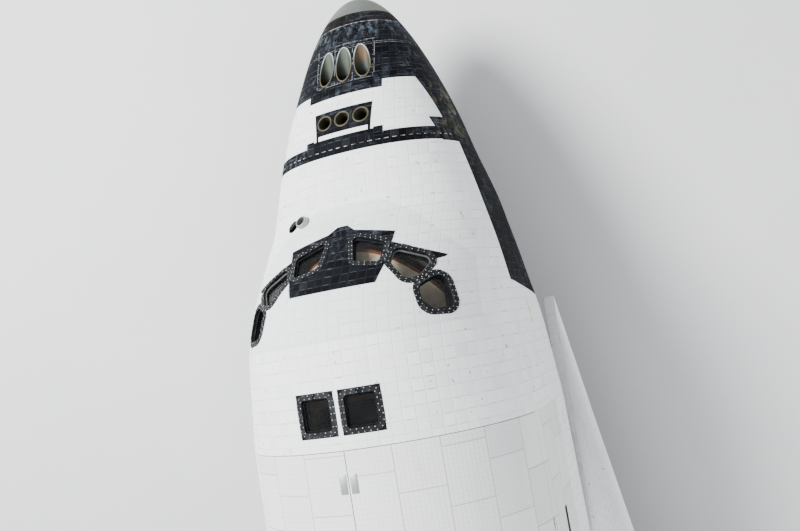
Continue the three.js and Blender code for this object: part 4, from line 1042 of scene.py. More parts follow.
windowFrames, windowRetainers, windowDots, cabinCutters = [], [], [], []
for label, corners in panes.items():
    for side, sideName in bothSides:
        p = paneSettings
        middle, along, over, normal, flat = paneBasis(corners, side)

        def paneRing(out, depth=0.0, gap=None):
            outline = offsetOutline(flat, out, p["corner"][label])
            outline = refined(outline, gap) if gap else outline
            return middle + np.outer(outline[:, 0], along) + np.outer(outline[:, 1], over) + normal * depth

        cabinCutters.append(loft([paneRing(0.0, -0.5), paneRing(0.0, 0.5)], frameBlack))
        pane = loft([paneRing(-0.004, -p["depth"] - p["glass"]), paneRing(-0.004, -p["depth"])], glassMaterial)
        settle(f"windowPane.{label}.{sideName}", pane, "glass", f"window_{label}_{sideName}")
        # the retainer lies on the pane, and the frame on the skin round it
        levels = [(-0.003, -p["depth"]), (-p["retainer"], -p["depth"]), (-p["retainer"], -0.036), (-0.006, -0.024)]
        loops = [paneRing(out, depth) for out, depth in levels]
        lip = retainerGreen if label == "middle" else retainerDark
        windowRetainers.append(loft(np.swapaxes(loops, 0, 1), lip, 25, True))
        levels = [(0.002, -0.05), (0.001, p["proud"]), (p["frame"] - 0.006, p["proud"]), (p["frame"], -0.012)]
        loops = [onSkin(paneRing(out), normal, lift) for out, lift in levels]
        windowFrames.append(loft(np.swapaxes(loops, 0, 1), frameBlack, 25, True))
        for out in p["dotRows"]:
            path = onSkin(paneRing(out, gap=0.06), normal, p["proud"])
            windowDots.append((path, np.array([skinNormal(*q) for q in path]), True))

starTrackers = {
    "places": ((4.744, 0.894), (4.748, 1.15)), "axis": (0.1, -0.22, -0.46),
    "rings": ((0.118, 0.088, 0.095, 0.103), (0.132, 0.121, 0.01, 0.122)),  # rim, bore, height, hole
}
# star tracker holes: tan near the rim, near black deeper down as painted shade in the hole
trackerBowl = stainedMaterial("trackerBowl", 2, [
    (3.8, (0.012, 0.012, 0.012)), (4.04, (0.02, 0.018, 0.016)),
    (4.14, (0.38, 0.25, 0.13)), (4.22, (0.42, 0.36, 0.28)),
], 0.1, 0.6)
for (s, y), (rim, bore, height, hole) in zip(starTrackers["places"], starTrackers["rings"]):
    place, axis = np.array([s, y, topHeight(s, y)]), np.array(starTrackers["axis"])
    cabinCutters.append(turned(place - axis * 0.55, axis, [(0, hole), (0.52, hole)], trackerBowl, 40))
    collar = [(-0.05, rim), (height - 0.012, rim), (height, rim - 0.01), (height, bore), (-0.05, bore)]
    windowRetainers.append(turned(place, skinNormal(*place), collar, retainerGrey, 40, 30, True))

hatch = {
    "station": 6.8, "z": 2.7, "outer": 0.56, "inner": 0.5, "shell": 0.23, "window": 0.127, "windowUp": 0.06,
    "ring": [(-0.05, 0.168), (0.006, 0.166), (0.012, 0.158), (0.012, 0.128), (-0.05, 0.1275)],
    "pane": [(0, 0.12), (0.006, 0.1262), (0.028, 0.1262), (0.034, 0.12)], "hinges": (6.71, 6.89),
}
hatchSide = sectionAt(hatch["station"])[0]


def hatchPlug(extra, material):
    slope = (hatch["outer"] - hatch["inner"]) / hatch["shell"]
    outer = hatch["outer"] + extra + 0.06 * slope
    start, end = ((hatch["station"], hatchSide + out, hatch["z"]) for out in (0.06, 0.06 - 0.6))
    return bar(start, end, outer, material, 72, outer - 0.6 * slope)


aftPanes = {"y": 0.33, "z": 5.05, "half": 0.185, "high": 0.14}


def aftPane(side, front, back, inset, material, bevel=0.0):
    y, z, half, high = aftPanes.values()
    ys = [side * (y - half + inset), side * (y + half - inset)]
    return box(front, back, *ys, z - high + inset, z + high - inset, material, bevel)


cabinBody = hull(3.4854, 8.636, 0.06, forwardTiles, chamfer=0.006)
cabinHollow = hull(4.9, 8.406, 0.12, cabinWall, -0.23, 96)
cabinCutters += [noseWellCutter(), carve(cabinHollow, [box(4.0, 9.0, -4, 4, 1.5, 7, cabinWall)], "INTERSECT")]
for side, sideName in bothSides:
    cabinCutters.append(aftPane(side, 8.3, 8.7, 0.0, frameBlack))
    pane = aftPane(side, 8.5, 8.53, 0.001, glassMaterial, 0.004)
    settle(f"windowPane.aft.{sideName}", pane, "glass", f"window_aft_{sideName}")
carve(cabinBody, cabinCutters + [hatchPlug(0.007, jointDark)])
settle("cabinBody", cabinBody, "white_tile", "forward_fuselage_upper", "forward_fuselage_lower")
settle("windowFrames", windowFrames, "black_tile")
settle("windowRetainers", windowRetainers, "gear_metal")
windowDots = rivetRows(windowDots, *(paneSettings[key] for key in ("dotSpacing", "dotRadius", "dotHeight")))
settle("windowDots", windowDots, "gear_metal")
vent = zip(np.linspace(6.734, 7.172, 5), np.linspace(2.465, 2.454, 5))
vent = [(s, -sideDistance(s, z) - 0.002, z) for s, z in vent]
settle("sideVent", tube(vent, 0.017, cabinTan, flat=0.6), "white_tile")
print("cabin and windows built")

# Flight deck seen through the panes: glare shield and panels dark, seats, walls and floor tan
glareShield = {
    "top": [(5.5, 4.58), (5.53, 4.63), (5.57, 4.65), (5.84, 4.7), (6.02, 4.68), (6.1, 4.6)],
    "front": 5.5, "back": 6.04, "low": 4.02, "half": 1.62, "kinds": (1, 2, 2, 0, 0, 0, 1, 1),
}
seats = {
    "ys": (0.65, -0.65),
    "blocks": [  # front, back, half width, low, high, cloth and rounding of pan, base, back and head
        (6.5, 7.02, 0.235, 4.16, 4.3, cabinTan, 0.05), (6.62, 6.95, 0.16, 3.83, 4.18, cabinDark, 0.02),
        (6.98, 7.12, 0.235, 4.22, 5.02, cabinTan, 0.05), (6.96, 7.06, 0.13, 4.95, 5.16, cabinTan, 0.04),
    ],
}


def shieldBow(y):
    return -0.09 + 0.62 * (y / 1.28) ** 2


deckParts = [
    box(4.95, 8.38, -1.55, 1.55, 3.76, 3.84, cabinTan, 0.01),
    box(6.05, 6.85, -0.21, 0.21, 3.84, 4.24, cabinDark, 0.03),
    box(8.05, 8.34, -0.88, 0.88, 3.84, 4.78, cabinDark, 0.03),
]
shieldRings = []
for y in np.linspace(-glareShield["half"], glareShield["half"], 25):
    dip = 0.16 * max(0.0, abs(y) - 0.9)
    feet = [(glareShield[end] + shieldBow(y), y, glareShield["low"]) for end in ("front", "back")]
    shieldRings.append(feet[:1] + [(s + shieldBow(y), y, z - dip) for s, z in glareShield["top"]] + feet[1:])
shieldCloths = [cabinTan, cabinDark, cabinRust]
deckParts.append(loft(shieldRings, shieldCloths, 30, False, lambda r, j: glareShield["kinds"][j]))
for y in np.linspace(-1, 1, 9):
    front = 6.07 + shieldBow(y)
    deckParts.append(box(front, front + 0.02, y - 0.09, y + 0.09, 4.22, 4.42, cabinWall, 0.008))
for y in seats["ys"]:
    for front, back, half, low, high, cloth, bevel in seats["blocks"]:
        deckParts.append(box(front, back, y - half, y + half, low, high, cloth, bevel))
settle("flightDeck", deckParts, "cabin", "flight_deck")


# Crew hatch on the port side
def atHatch(out, along=0.0, up=0.0):
    return hatch["station"] + along, hatchSide + out, hatch["z"] + hatch["windowUp"] + up


hatchSkin = carve(hull(6.0, 7.6, 0.05, forwardTiles), [hull(5.9, 7.7, 0.2, cabinWall, -0.23, 96)])
carve(hatchSkin, [hatchPlug(0.0, retainerGrey)], "INTERSECT")
carve(hatchSkin, [bar(atHatch(-0.5), atHatch(0.1), hatch["window"], frameBlack, 48)])
hatchParts = [hatchSkin, turned(atHatch(-0.004), (0, 1, 0), hatch["ring"], retainerGrey, 48, 30, True)]
for s in hatch["hinges"]:
    hatchParts.append(bar((s + 0.0002, 2.5313, 2.128), (s + 0.06, 2.5313, 2.128), 0.0218, steelBright, 20))
    hatchParts.append(box(s + 0.0004, s + 0.06, 2.4913, 2.5273, 2.1285, 2.218, steelBright, 0.004))
settle("sideHatch", hatchParts, "white_tile", "side_hatch", body="side_hatch")
hatchPane = turned(atHatch(-0.107), (0, 1, 0), hatch["pane"], glassMaterial)
settle("hatchPane", hatchPane, "glass", "hatch_window", body="side_hatch")
path = np.array([atHatch(0.008, 0.147 * sin(t), 0.147 * cos(t)) for t in turnsOf(24)])
hatchDots = rivetRows([(path, (0, 1, 0), True)], 0.05, 0.008, 0.005)
settle("hatchDots", hatchDots, "gear_metal", body="side_hatch")
print("hatch built")

# Mid fuselage: tiled belly, quilted sides, and the open bay behind the doors
bay = {"radius": 2.337, "centre": 3.378, "sill": 3.886, "pitch": (1.385, 0, 0)}
bayHinges = {"stations": (10.5, 18.0, 25.5), "y": 2.6131, "radius": 0.026, "width": 0.09, "gap": 0.006}
sideVents = {
    "stations": [10.4 + 2.55 * k for k in range(7)], "long": 0.52, "low": 2.92, "high": 3.1, "ys": (2.645, 3.0),
}
sideQuilt = tiledMaterial("sideQuilt", lowBlack, upperCloth)
whiteQuilt = tiledMaterial("whiteQuilt", 0.0, 1.0)
linerGreen = plainMaterial("linerGreen", (0.42, 0.47, 0.38), (0.52, 0.54, 0.46), 0.7, scale=1.5, depth=0.002)
frameGreen = plainMaterial("frameGreen", (0.3, 0.34, 0.22), (0.24, 0.27, 0.18), 0.5, 0.2, scale=3.0)
ventDark = plainMaterial("ventDark", (0.05, 0.05, 0.052), (0.11, 0.11, 0.11), 0.6, 0.3, scale=9.0)
radiatorSilver = plainMaterial("radiatorSilver", (0.7, 0.72, 0.74), (0.58, 0.6, 0.62), 0.24, 0.9, scale=1.2)
radiatorBack = plainMaterial("radiatorBack", (0.5, 0.52, 0.5), (0.38, 0.4, 0.38), 0.5, 0.3, scale=2.0)


# Hinge barrels from some distance ahead of each hinge station to some distance behind it
def hingeSpans(ahead, behind, sides, extra=0.0):
    h, spans = bayHinges, []
    for s in h["stations"]:
        for side in sides:
            ends = [(s + reach, side * h["y"], bay["sill"]) for reach in (ahead, behind)]
            spans.append(bar(*ends, h["radius"] + extra, steelBright, 20))
    return spans


width, gap = bayHinges["width"], bayHinges["gap"]
midBody = hull(8.6364, 27.2026, 0.155, sideQuilt, chamfer=0.006)
midCutters = [
    box(8, 28, -4, 4, bay["sill"], 8, retainerGrey),
    bar((8.6, 0, bay["centre"]), (27.24, 0, bay["centre"]), bay["radius"], linerGreen, 128),
    box(8.6, 27.24, -bay["radius"], bay["radius"], bay["centre"], 7, linerGreen),
]
for s in sideVents["stations"]:
    for side in (1, -1):
        sizes = s, s + sideVents["long"], *(side * y for y in sideVents["ys"]), sideVents["low"], sideVents["high"]
        midCutters.append(box(*sizes, ventDark, 0.03))
carve(midBody, midCutters + hingeSpans(-gap, width + gap, (1, -1), gap))
midParts = [midBody] + hingeSpans(-width, -0.0002, (1, -1))
midParts += [box(8.66, 27.18, side * 2.346, side * 2.426, 3.87, 3.912, frameGreen, 0.008) for side in (1, -1)]
settle("midBody", midParts, "blanket", "mid_fuselage")

bayFrame = [(8.93, 0.01), (8.99, 0.01), (8.99, -0.085), (9.01, -0.097), (8.91, -0.097), (8.93, -0.085)]
frameArc = []
for t in spread(-11, 191, 61):
    radii = [(s, bay["radius"] + lift) for s, lift in bayFrame]
    frameArc.append([(s, r * cos(t), bay["centre"] - r * sin(t)) for s, r in radii])
settle("bayFrames", copies(loft(frameArc), 14, frameGreen, bay["pitch"]), "blanket")
bayFittings = [
    box(8.9, 27.0, -0.16, 0.16, 1.02, 1.13, frameGreen, 0.01),
    copies(box(9.3, 9.62, -0.24, 0.24, 1.03, 1.17, (), 0.02), 13, retainerGrey, bay["pitch"]),
]
for side in (1, -1):
    trunnion = box(9.4, 9.62, side * 2.3, side * 2.42, 3.84, 3.96, (), 0.02)
    bayFittings.append(copies(trunnion, 13, steelBright, bay["pitch"]))
settle("bayFittings", bayFittings, "gear_metal")
airlockProfile = [
    (-0.01, 0.56), (0.03, 0.555), (0.045, 0.54), (0.045, 0.5),
    (0.028, 0.49), (0.028, 0.12), (0.05, 0.1), (0.055, 0.0),
]
airlockHatch = turned((8.634, 0, 2.35), (1, 0, 0), airlockProfile, retainerGrey, 64)
settle("airlockHatch", airlockHatch, "gear_metal")
print("mid fuselage built")

# Payload bay doors, each with its radiator panels
doorPanel = 4.637
doorJoints = [(8.646 + doorPanel * k, 0.012, 0.012, 1) for k in (1, 2, 3)]
doorJoints += [(10.94 + doorPanel * k, 0.005, 0.005, 1) for k in range(4)]
for side, sideName in bothSides:
    label, body = sideName.title(), f"payload_door_{sideName}"
    door = hull(8.646, 27.193, 0.155, [whiteQuilt, jointDark], chamfer=0.006, grooves=doorJoints)
    carve(door, [hull(8.6, 27.24, 1.2, radiatorBack, -0.15, 192)])
    carve(door, [box(8, 28, side * 0.004, side * 3.4, bay["sill"] + 0.006, 7, retainerGrey)], "INTERSECT")
    carve(door, hingeSpans(-width - gap, gap, (side,), gap))
    settle(f"payloadDoor{label}", [door] + hingeSpans(0.0002, width, (side,)), "blanket", body, body=body)
    latch = box(9.0, 9.3, side * 0.03, side * 0.15, 5.9, 5.926, (), 0.006)
    settle(f"doorLatches{label}", copies(latch, 17, retainerGrey, (1.08, 0, 0)), "blanket", body=body)
    panel = hull(8.9, 26.903, 0.6, radiatorSilver, -0.1504, 192)
    carve(panel, [hull(8.8, 27.0, 1.2, radiatorSilver, -0.21, 192)])
    carve(panel, [box(8, 28, side * 0.06, side * 3.4, bay["sill"] + 0.26, 7, radiatorSilver)], "INTERSECT")
    panel = [carve(panel, [box(s, s + 0.06, -4, 4, 3, 7, radiatorBack) for s in (13.37, 17.87, 22.37)])]
    for t in spread(24, 86, 22):
        ends = [(s, side * 2.4495 * cos(t), 3.378 + 2.3225 * sin(t)) for s in (8.98, 26.82)]
        panel.append(bar(*ends, 0.011, radiatorSilver, 8))
    settle(f"radiator{label}", panel, "radiator", f"radiator_{sideName}", body=body)
print("payload bay doors built")

# Aft fuselage with the base heat shield and the shelf that carries the body flap
mainEngines = {
    "upper": {"gimbal": (30.709, 0, 4.47), "pitch": 16, "yaw": 0, "end": 34.544},
    "left": {"gimbal": (31.293, 1.346, 1.921), "pitch": 10, "yaw": 3.5, "end": 35.23},
    "right": {"gimbal": (31.293, -1.346, 1.921), "pitch": 10, "yaw": -3.5, "end": 35.23},
}
basePlane = 32.385
baseRing = [(-0.1, 1.02), (0.02, 1.02), (0.055, 0.985), (0.075, 0.9), (0.075, 0.8005), (-0.1, 0.8005)]
flap = {
    "hinge": 32.918, "z": 0.6, "radius": 0.25, "span": 3.0, "tipSpan": 2.85, "end": 34.976, "endZ": 0.62,
    "endHalf": 0.015, "lugs": (-1.9, 1.9),
}


def engineAxis(spec):
    pitch, yaw = radians(spec["pitch"]), radians(spec["yaw"])
    along = unit([cos(pitch) * cos(yaw), sin(yaw), sin(pitch)])
    start = np.array(spec["gimbal"])
    base, exitPoint = (start + along * (s - start[0]) / along[0] for s in (basePlane, spec["end"]))
    return start, along, base, exitPoint


def aftBlack(folded):
    low = within(folded, [(26, -9), (26, 0.9), (29.8, 0.95), (32.0, 1.25), (34, 1.25), (34, -9)], (0, 2))
    return most(folded.parts()[0] - 32.3, low).crisp()


def acrossFlap(y, half, radius, material, sides=40):
    return bar(*((flap["hinge"], y + reach, flap["z"]) for reach in (-half, half)), radius, material, sides)


aftQuilt = tiledMaterial("aftQuilt", aftBlack, upperCloth)
shelf = carve(hull(32.285, 32.978, 0.11, aftQuilt), [box(32, 33.5, -3, 3, 0.33, 0.9, aftQuilt)], "INTERSECT")
aftBody = carve(hull(27.2034, basePlane, 0.11, aftQuilt, chamfer=0.006), [shelf], "UNION")
aftCutters = [
    acrossFlap(0, 3.2, flap["radius"] + 0.01, jointDark, 64),
    box(flap["hinge"] - 0.125, 33.6, -3.3, 3.3, 0.0, 1.0, jointDark),
]
aftParts = []
for spec in mainEngines.values():
    _, along, base, _ = engineAxis(spec)
    aftCutters.append(bar(base - along * 0.4, base + along * 0.7, 0.79, jointDark, 96))
    aftParts.append(turned(base, along, baseRing, aftQuilt, 96, 35, True))
accessPlates = [  # station, height, half length, half height, finish
    (29.1, 3.25, 0.42, 0.3, whiteTiles), (30.6, 1.95, 0.3, 0.4, frameBlack), (28.3, 1.75, 0.26, 0.26, whiteTiles),
]
for s, z, long, high, material in accessPlates:
    for side in (1, -1):
        ys = [side * (sectionAt(s)[0] + out) for out in (-0.5, 0.3)]
        panel = box(s - long, s + long, *ys, z - high, z + high, retainerGrey, 0.06)
        plate = hull(s - 0.6, s + 0.6, 0.1, material, 0.007, 192)
        carve(plate, [hull(s - 0.7, s + 0.7, 0.2, jointDark, -0.02, 192)])
        aftParts.append(carve(plate, [panel], "INTERSECT"))
carve(aftBody, aftCutters)
for y in flap["lugs"]:
    aftParts.append(acrossFlap(y, 0.04, 0.12, steelBright))
    zs = flap["z"] - 0.1176, flap["z"] + 0.1176
    aftParts.append(box(flap["hinge"] - 0.31, flap["hinge"], y - 0.04, y + 0.04, *zs, steelBright))
settle("aftBody", [aftBody] + aftParts, "blanket", "aft_fuselage")

flapRings = []
for share in np.linspace(-1, 1, 41):
    s, z, r, root, tip = flap["hinge"], flap["z"], flap["radius"], flap["span"] * share, flap["tipSpan"] * share
    ring = [(s - r * sin(t), root, z + r * cos(t)) for t in np.linspace(0, pi, 25)]
    for side, stops in ((-1, np.linspace(0.05, 1, 12)), (1, np.linspace(1, 0.05, 12))):
        corner, change = (s, root, z + side * r), (flap["end"], tip, flap["endZ"] + side * flap["endHalf"])
        ring += [tuple(a + (b - a) * f for a, b in zip(corner, change)) for f in stops]
    flapRings.append(ring)
bodyFlap = carve(loft(flapRings, blackTiles), [acrossFlap(y, 0.0404, 0.2626, jointDark) for y in flap["lugs"]])
settle("bodyFlap", bodyFlap, "black_tile", "body_flap", body="body_flap")
print("aft fuselage and body flap built")

# Main engines: regeneratively cooled bells with hat bands, feed lines and a domed collar
mainBell = {
    "table": [(0, 1.15), (0.45, 1.105), (1.05, 0.98), (1.7, 0.79), (2.35, 0.555), (2.9, 0.33)],
    "places": (0.3, 0.66, 1.02, 1.38, 1.74, 2.1), "half": 0.035, "height": 0.032, "wall": 0.036, "closeAt": 2.35,
    "collar": [
        (-0.34, 0.6), (-0.3, 0.789), (0.0, 0.7895), (0.05, 0.775), (0.1, 0.715), (0.135, 0.62), (0.14, 0.3),
    ],
}
bellSteel, bellTree, bellShader = newMaterial("bellSteel", Metallic=0.85)
marks = useGroup(bellTree, grimeAndGrain, {"Scale": 2.2, "Low": 0.35, "High": 0.75})
tubeWave = put(bellTree, "ShaderNodeUVMap", uv_map="skin")[0].parts()[1].calc("PINGPONG", 0.016) / 0.016
bellColour = mix(marks["Patch"], (0.17, 0.165, 0.16), (0.3, 0.285, 0.26))
bellColour = mix(tubeWave * 0.35, bellColour, (0.1, 0.09, 0.085))
dress(bellShader, bellColour, 0.34 + marks["Patch"] * 0.2, tubeWave, 0.004)
bandSteel = plainMaterial("bandSteel", (0.36, 0.35, 0.33), (0.24, 0.225, 0.2), 0.38, 0.9, scale=3.0)
bellLining = plainMaterial("bellLining", (0.36, 0.35, 0.33), (0.2, 0.185, 0.165), 0.5, 0.25, scale=2.4, depth=0.002)
collarGrey = plainMaterial("collarGrey", (0.42, 0.42, 0.41), (0.3, 0.29, 0.27), 0.55, 0.5, scale=2.0, depth=0.002)


# The profile runs from the throat to the lip, and back inside; its third value is tubes, bands or lining
def turnedBell(start, direction, bell, sides):
    curve, half, wall, close = throughPoints(*zip(*bell["table"])), bell["half"], bell["wall"], bell["closeAt"]
    profile = [
        (d, curve(d), 0) for d in np.linspace(bell["table"][-1][0], 0, 34)
        if all(abs(d - p) > half + 0.01 for p in bell["places"])
    ]
    for p in bell["places"]:
        top = curve(p) + bell["height"]
        profile += [(p + half, curve(p + half), 1), (p + half * 0.8, top, 1)]
        profile += [(p - half * 0.8, top, 1), (p - half, curve(p - half), 0)]
    profile.sort(key=lambda row: -row[0])
    lip, last = curve(0), curve(close) - wall
    profile += [(-0.004, lip + 0.012, 1), (-0.012, lip - 0.01, 1), (-0.004, lip - wall, 2)]
    profile += [(d, curve(d) - wall, 2) for d in np.linspace(0.05, close, 24)]
    profile += [(close + 0.1, last * 0.55, 2), (close + 0.22, last * 0.3, 2), (close + 0.25, 0.0, 2)]
    piece = turned(start, direction, [row[:2] for row in profile], [bellSteel, bandSteel, bellLining], sides)
    kinds = [kind for _, _, kind in profile for _ in range(sides)]
    piece.data.polygons.foreach_set("material_index", kinds[: len(piece.data.polygons)])
    return piece


bellCurve = throughPoints(*zip(*mainBell["table"]))
for label, spec in mainEngines.items():
    start, along, base, exitPoint = engineAxis(spec)
    across, over = frameAlong(along)

    def onBell(distance, out, turn):
        return exitPoint - along * distance + out * (cos(turn) * across + sin(turn) * over)

    engineParts = [
        turnedBell(exitPoint, -along, mainBell, 128),
        turned(base, along, mainBell["collar"], collarGrey, 96),
        bar(start + along * 0.9, base, 0.6, collarGrey, 48),
    ]
    for turn in 0.5 + turnsOf(3):
        path = [onBell(d, bellCurve(d) + 0.045, turn) for d in np.linspace(0.32, 2.55, 20)]
        engineParts.append(tube(path, 0.042, bandSteel, 12))
    engineParts.append(tube([onBell(0.045, 1.152, t) for t in turnsOf(96)], 0.034, bandSteel, 10, True))
    settle(f"mainEngine{label.title()}", engineParts, "nozzle", f"main_engine_{label}")
print("main engines built")

# Wings: y, leading edge station, underside, thickest, then the share of that thickness along the chord
wingChord = [0.004, 0.02, 0.06, 0.14, 0.28, 0.45, 0.65, 0.85, 1]
wingShares = {
    "root": [0.06, 0.13, 0.22, 0.34, 0.52, 0.76, 1, 0.86, 0.42],
    "mid": [0.08, 0.17, 0.3, 0.46, 0.68, 0.9, 1, 0.84, 0.48],
    "tip": [0.14, 0.3, 0.5, 0.75, 0.95, 1, 0.9, 0.74, 0.58],
}
wingTable = [
    (2.667, 6.706, 0.06, 1.48, "root"), (3.048, 9.3, 0.092, 1.42, "root"),
    (3.81, 14.1, 0.157, 1.3, "mid"), (4.45, 18.05, 0.212, 1.18, "mid"),
    (4.775, 19.9, 0.239, 1.08, "tip"), (5.2, 20.7, 0.275, 0.99, "tip"),
    (7.938, 23.178, 0.508, 0.72, "tip"), (11.896, 27.136, 0.845, 0.396, "tip"),
]
wingFractions = np.linspace(0, 1, 34) ** 2
mainWell = (20.9, 24.25, 2.74, 4.24, -0.5, 0.95)  # front, back, inner, outer, low, top
carbonEdge = {
    "depth": 0.33, "inner": 4.454, "outer": 11.85, "panels": 22, "gap": 0.012, "inset": 0.012, "sink": 0.011,
}
elevonLine = {"station": 29.235, "root": (2.667, 0.3708, 0.3108), "tip": (11.896, 0.95984, 0.11484)}
elevonSpans = {"inner": (3.11, 7.93, (4.0, 7.0)), "outer": (7.946, 11.892, (8.8, 11.0))}
elevonEnd = {"half": 0.014, "drop": 0.35}
trailTable = [
    (2.667, 32.256), (3.048, 32.2), (3.81, 32.065), (4.45, 31.95), (4.775, 31.893), (5.2, 31.818),
    (7.938, 31.332), (11.896, 30.63),
]


# Upper and lower line of a wing section, both from its nose
def wingLines(y, inset=0.0, thin=1.0):
    lead, under, thick = looked(wingTable, y, 1, 2, 3)
    ys = [row[0] for row in wingTable]
    share = [np.interp(y, ys, [wingShares[row[4]][i] for row in wingTable]) for i in range(len(wingChord))]
    chord, curve, first = elevonLine["station"] - lead, throughPoints(np.sqrt(wingChord), share), share[0] * 0.4

    def lift(f):
        return under + 0.38 * thick * share[3] * max(0.0, 1 - f / 0.14) ** 1.6

    upper = [(lead + inset, y, lift(0) + thick * first)]
    lower = upper[:]
    for f in wingFractions[1:]:
        nose, body = min(1.0, sqrt(f / 0.004)), curve(sqrt(max(f, 0.004)))
        high, low = first + (body - first) * nose, first * (1 - nose)
        centre = (high + low) / 2
        near = inset if f * chord < carbonEdge["depth"] + 0.03 else 0.0
        s = lead + f * chord + near * max(0.0, 1 - f * chord / 0.1)
        for line, level, away in ((upper, high, -near), (lower, low, near)):
            line.append((s, y, lift(f) + thick * (centre + (level - centre) * thin) + away))
    return upper, lower


def wingRing(y, inset=0.0, thin=1.0):
    upper, lower = wingLines(y, inset, thin)
    return upper + lower[:0:-1]


def hingeAt(y):
    (y0, z0, r0), (y1, z1, r1) = elevonLine["root"], elevonLine["tip"]
    t = (y - y0) / (y1 - y0)
    return np.array([elevonLine["station"], y, z0 + t * (z1 - z0)]), r0 + t * (r1 - r0)


hingeAxis = unit(hingeAt(11.896)[0] - hingeAt(2.667)[0])
hingeUp = unit(np.cross((1, 0, 0), (0, hingeAxis[1], hingeAxis[2])))


def alongHinge(y, half):
    return [hingeAt(y)[0] + hingeAxis * reach for reach in (-half, half)]


# A strip of black tiles behind the carbon edge, along its two straight runs
def wingTopBlack(folded):
    station, port, _ = folded.parts()
    runs = [
        (port - y0).calc("MULTIPLY_ADD", slope, lead + 0.62) - station
        for slope, y0, lead in ((1.88, 4.775, 19.9), (0.961, 5.2, 20.7))
    ]
    return least(*runs, port - 4.45).crisp()


def wingKind(row, j):
    half = len(wingFractions) - 1
    return 0 if j < half else 2 if j == half else 1


wingWhite = tiledMaterial("wingWhite", wingTopBlack, upperCloth)
wingYs = sorted({2.45, 2.667, 3.048, 3.81, 4.45, 4.452, 4.775, 5.2, 7.938, 11.82, *np.linspace(2.5, 11.8, 64)})
rings = [wingRing(y, carbonEdge["inset"] if y > 4.451 else 0.0) for y in wingYs]
rings += [wingRing(y, carbonEdge["inset"], thin) for y, thin in ((11.87, 0.86), (11.892, 0.6))]
wing = loft(rings, [wingWhite, blackTiles, jointDark], kindOf=wingKind)
coveEnds, behind = [], []
for y in (2.4, 11.96):
    point, radius = hingeAt(y)
    front = point[0] - radius * 0.62
    coveEnds.append((point, radius + 0.0105))
    behind.append([(front, y, -0.3), (front, y, 2.0), (29.8, y, 2.0), (29.8, y, -0.3)])
(rootPoint, rootRadius), (tipPoint, tipRadius) = coveEnds
cove = bar(rootPoint, tipPoint, rootRadius, retainerGrey, 64, tipRadius)
wingParts = [carve(wing, [cove, loft(behind, retainerGrey), box(*mainWell, wellPaint)])]
for _, _, places in elevonSpans.values():
    for y in places:
        ends, radius = alongHinge(y, 0.04), hingeAt(y)[1]
        size = min(0.12, radius - 0.02)
        wingParts.append(bar(*ends, size, steelBright, 40))
        corners = ((0, -1), (0, 1), (radius + 0.06, 1), (radius + 0.06, -1))
        plate = [[p + np.array([-reach, 0, up * size * 0.98]) for reach, up in corners] for p in ends]
        wingParts.append(loft(plate, steelBright))
settlePair("wing", wingParts, "white_tile", "wing_{}")

# Carbon leading edge: twenty-two panels, each wrapped over the wing's front spar
stops = np.linspace(carbonEdge["inner"], carbonEdge["outer"], carbonEdge["panels"] + 1)
edgeRows = []
for a, b in zip(stops, stops[1:]):
    end = b - carbonEdge["gap"]
    for y in (a, a + 0.004, *np.linspace(a + 0.02, b - 0.02, 3), end, end + 0.002):
        edgeRows.append((y, 0.0 if a + 0.003 < y < end + 0.001 else carbonEdge["sink"]))


def edgeRing(y, sink):
    upper, lower = (np.array(line) for line in wingLines(y, sink))
    reach = carbonEdge["depth"] + looked(wingTable, y, 1)[0] - upper[0][0]
    stations = upper[0][0] + reach * np.linspace(0, 1, 15) ** 2
    top, bottom = ([(s, y, np.interp(s, line[:, 0], line[:, 2])) for s in stations] for line in (upper, lower))
    return bottom[:0:-1] + top


def edgeKind(row, j):
    return 1 if edgeRows[row][1] and edgeRows[row + 1][1] else 0


edge = loft([edgeRing(y, sink) for y, sink in edgeRows], [edgeCarbon, jointDark], kindOf=edgeKind)
settlePair("carbonEdge", edge, "carbon", "wing_leading_edge_{}")

elevonTop = tiledMaterial("elevonTop", 0.0, 1.0)
for label, (y0, y1, places) in elevonSpans.items():
    rings = []
    for y in np.linspace(y0, y1, 31):
        point, radius = hingeAt(y)
        trail = np.array([looked(trailTable, y, 1)[0] - elevonLine["station"], 0, 0])
        ahead = np.array([1, 0, 0])
        ring = [point + radius * (cos(t) * hingeUp - sin(t) * ahead) for t in np.linspace(0, pi, 24)]
        for side, fractions in ((-1, np.linspace(0.04, 1, 14)), (1, np.linspace(1, 0.04, 14))):
            end = side * elevonEnd["half"] - radius * elevonEnd["drop"]
            ring += [point + trail * f + hingeUp * (side * radius + (end - side * radius) * f) for f in fractions]
        rings.append(ring)
    elevon = loft(rings, [elevonTop, blackTiles], kindOf=lambda r, j: 1 if 12 <= j < 38 else 0)
    carve(elevon, [bar(*alongHinge(y, 0.0404), hingeAt(y)[1] + 0.008, jointDark, 48) for y in places])
    settlePair(f"elevon{label.title()}", elevon, "blanket", f"elevon_{label}_{{}}", f"elevon_{{}}_{label}")
print("wings and elevons built")

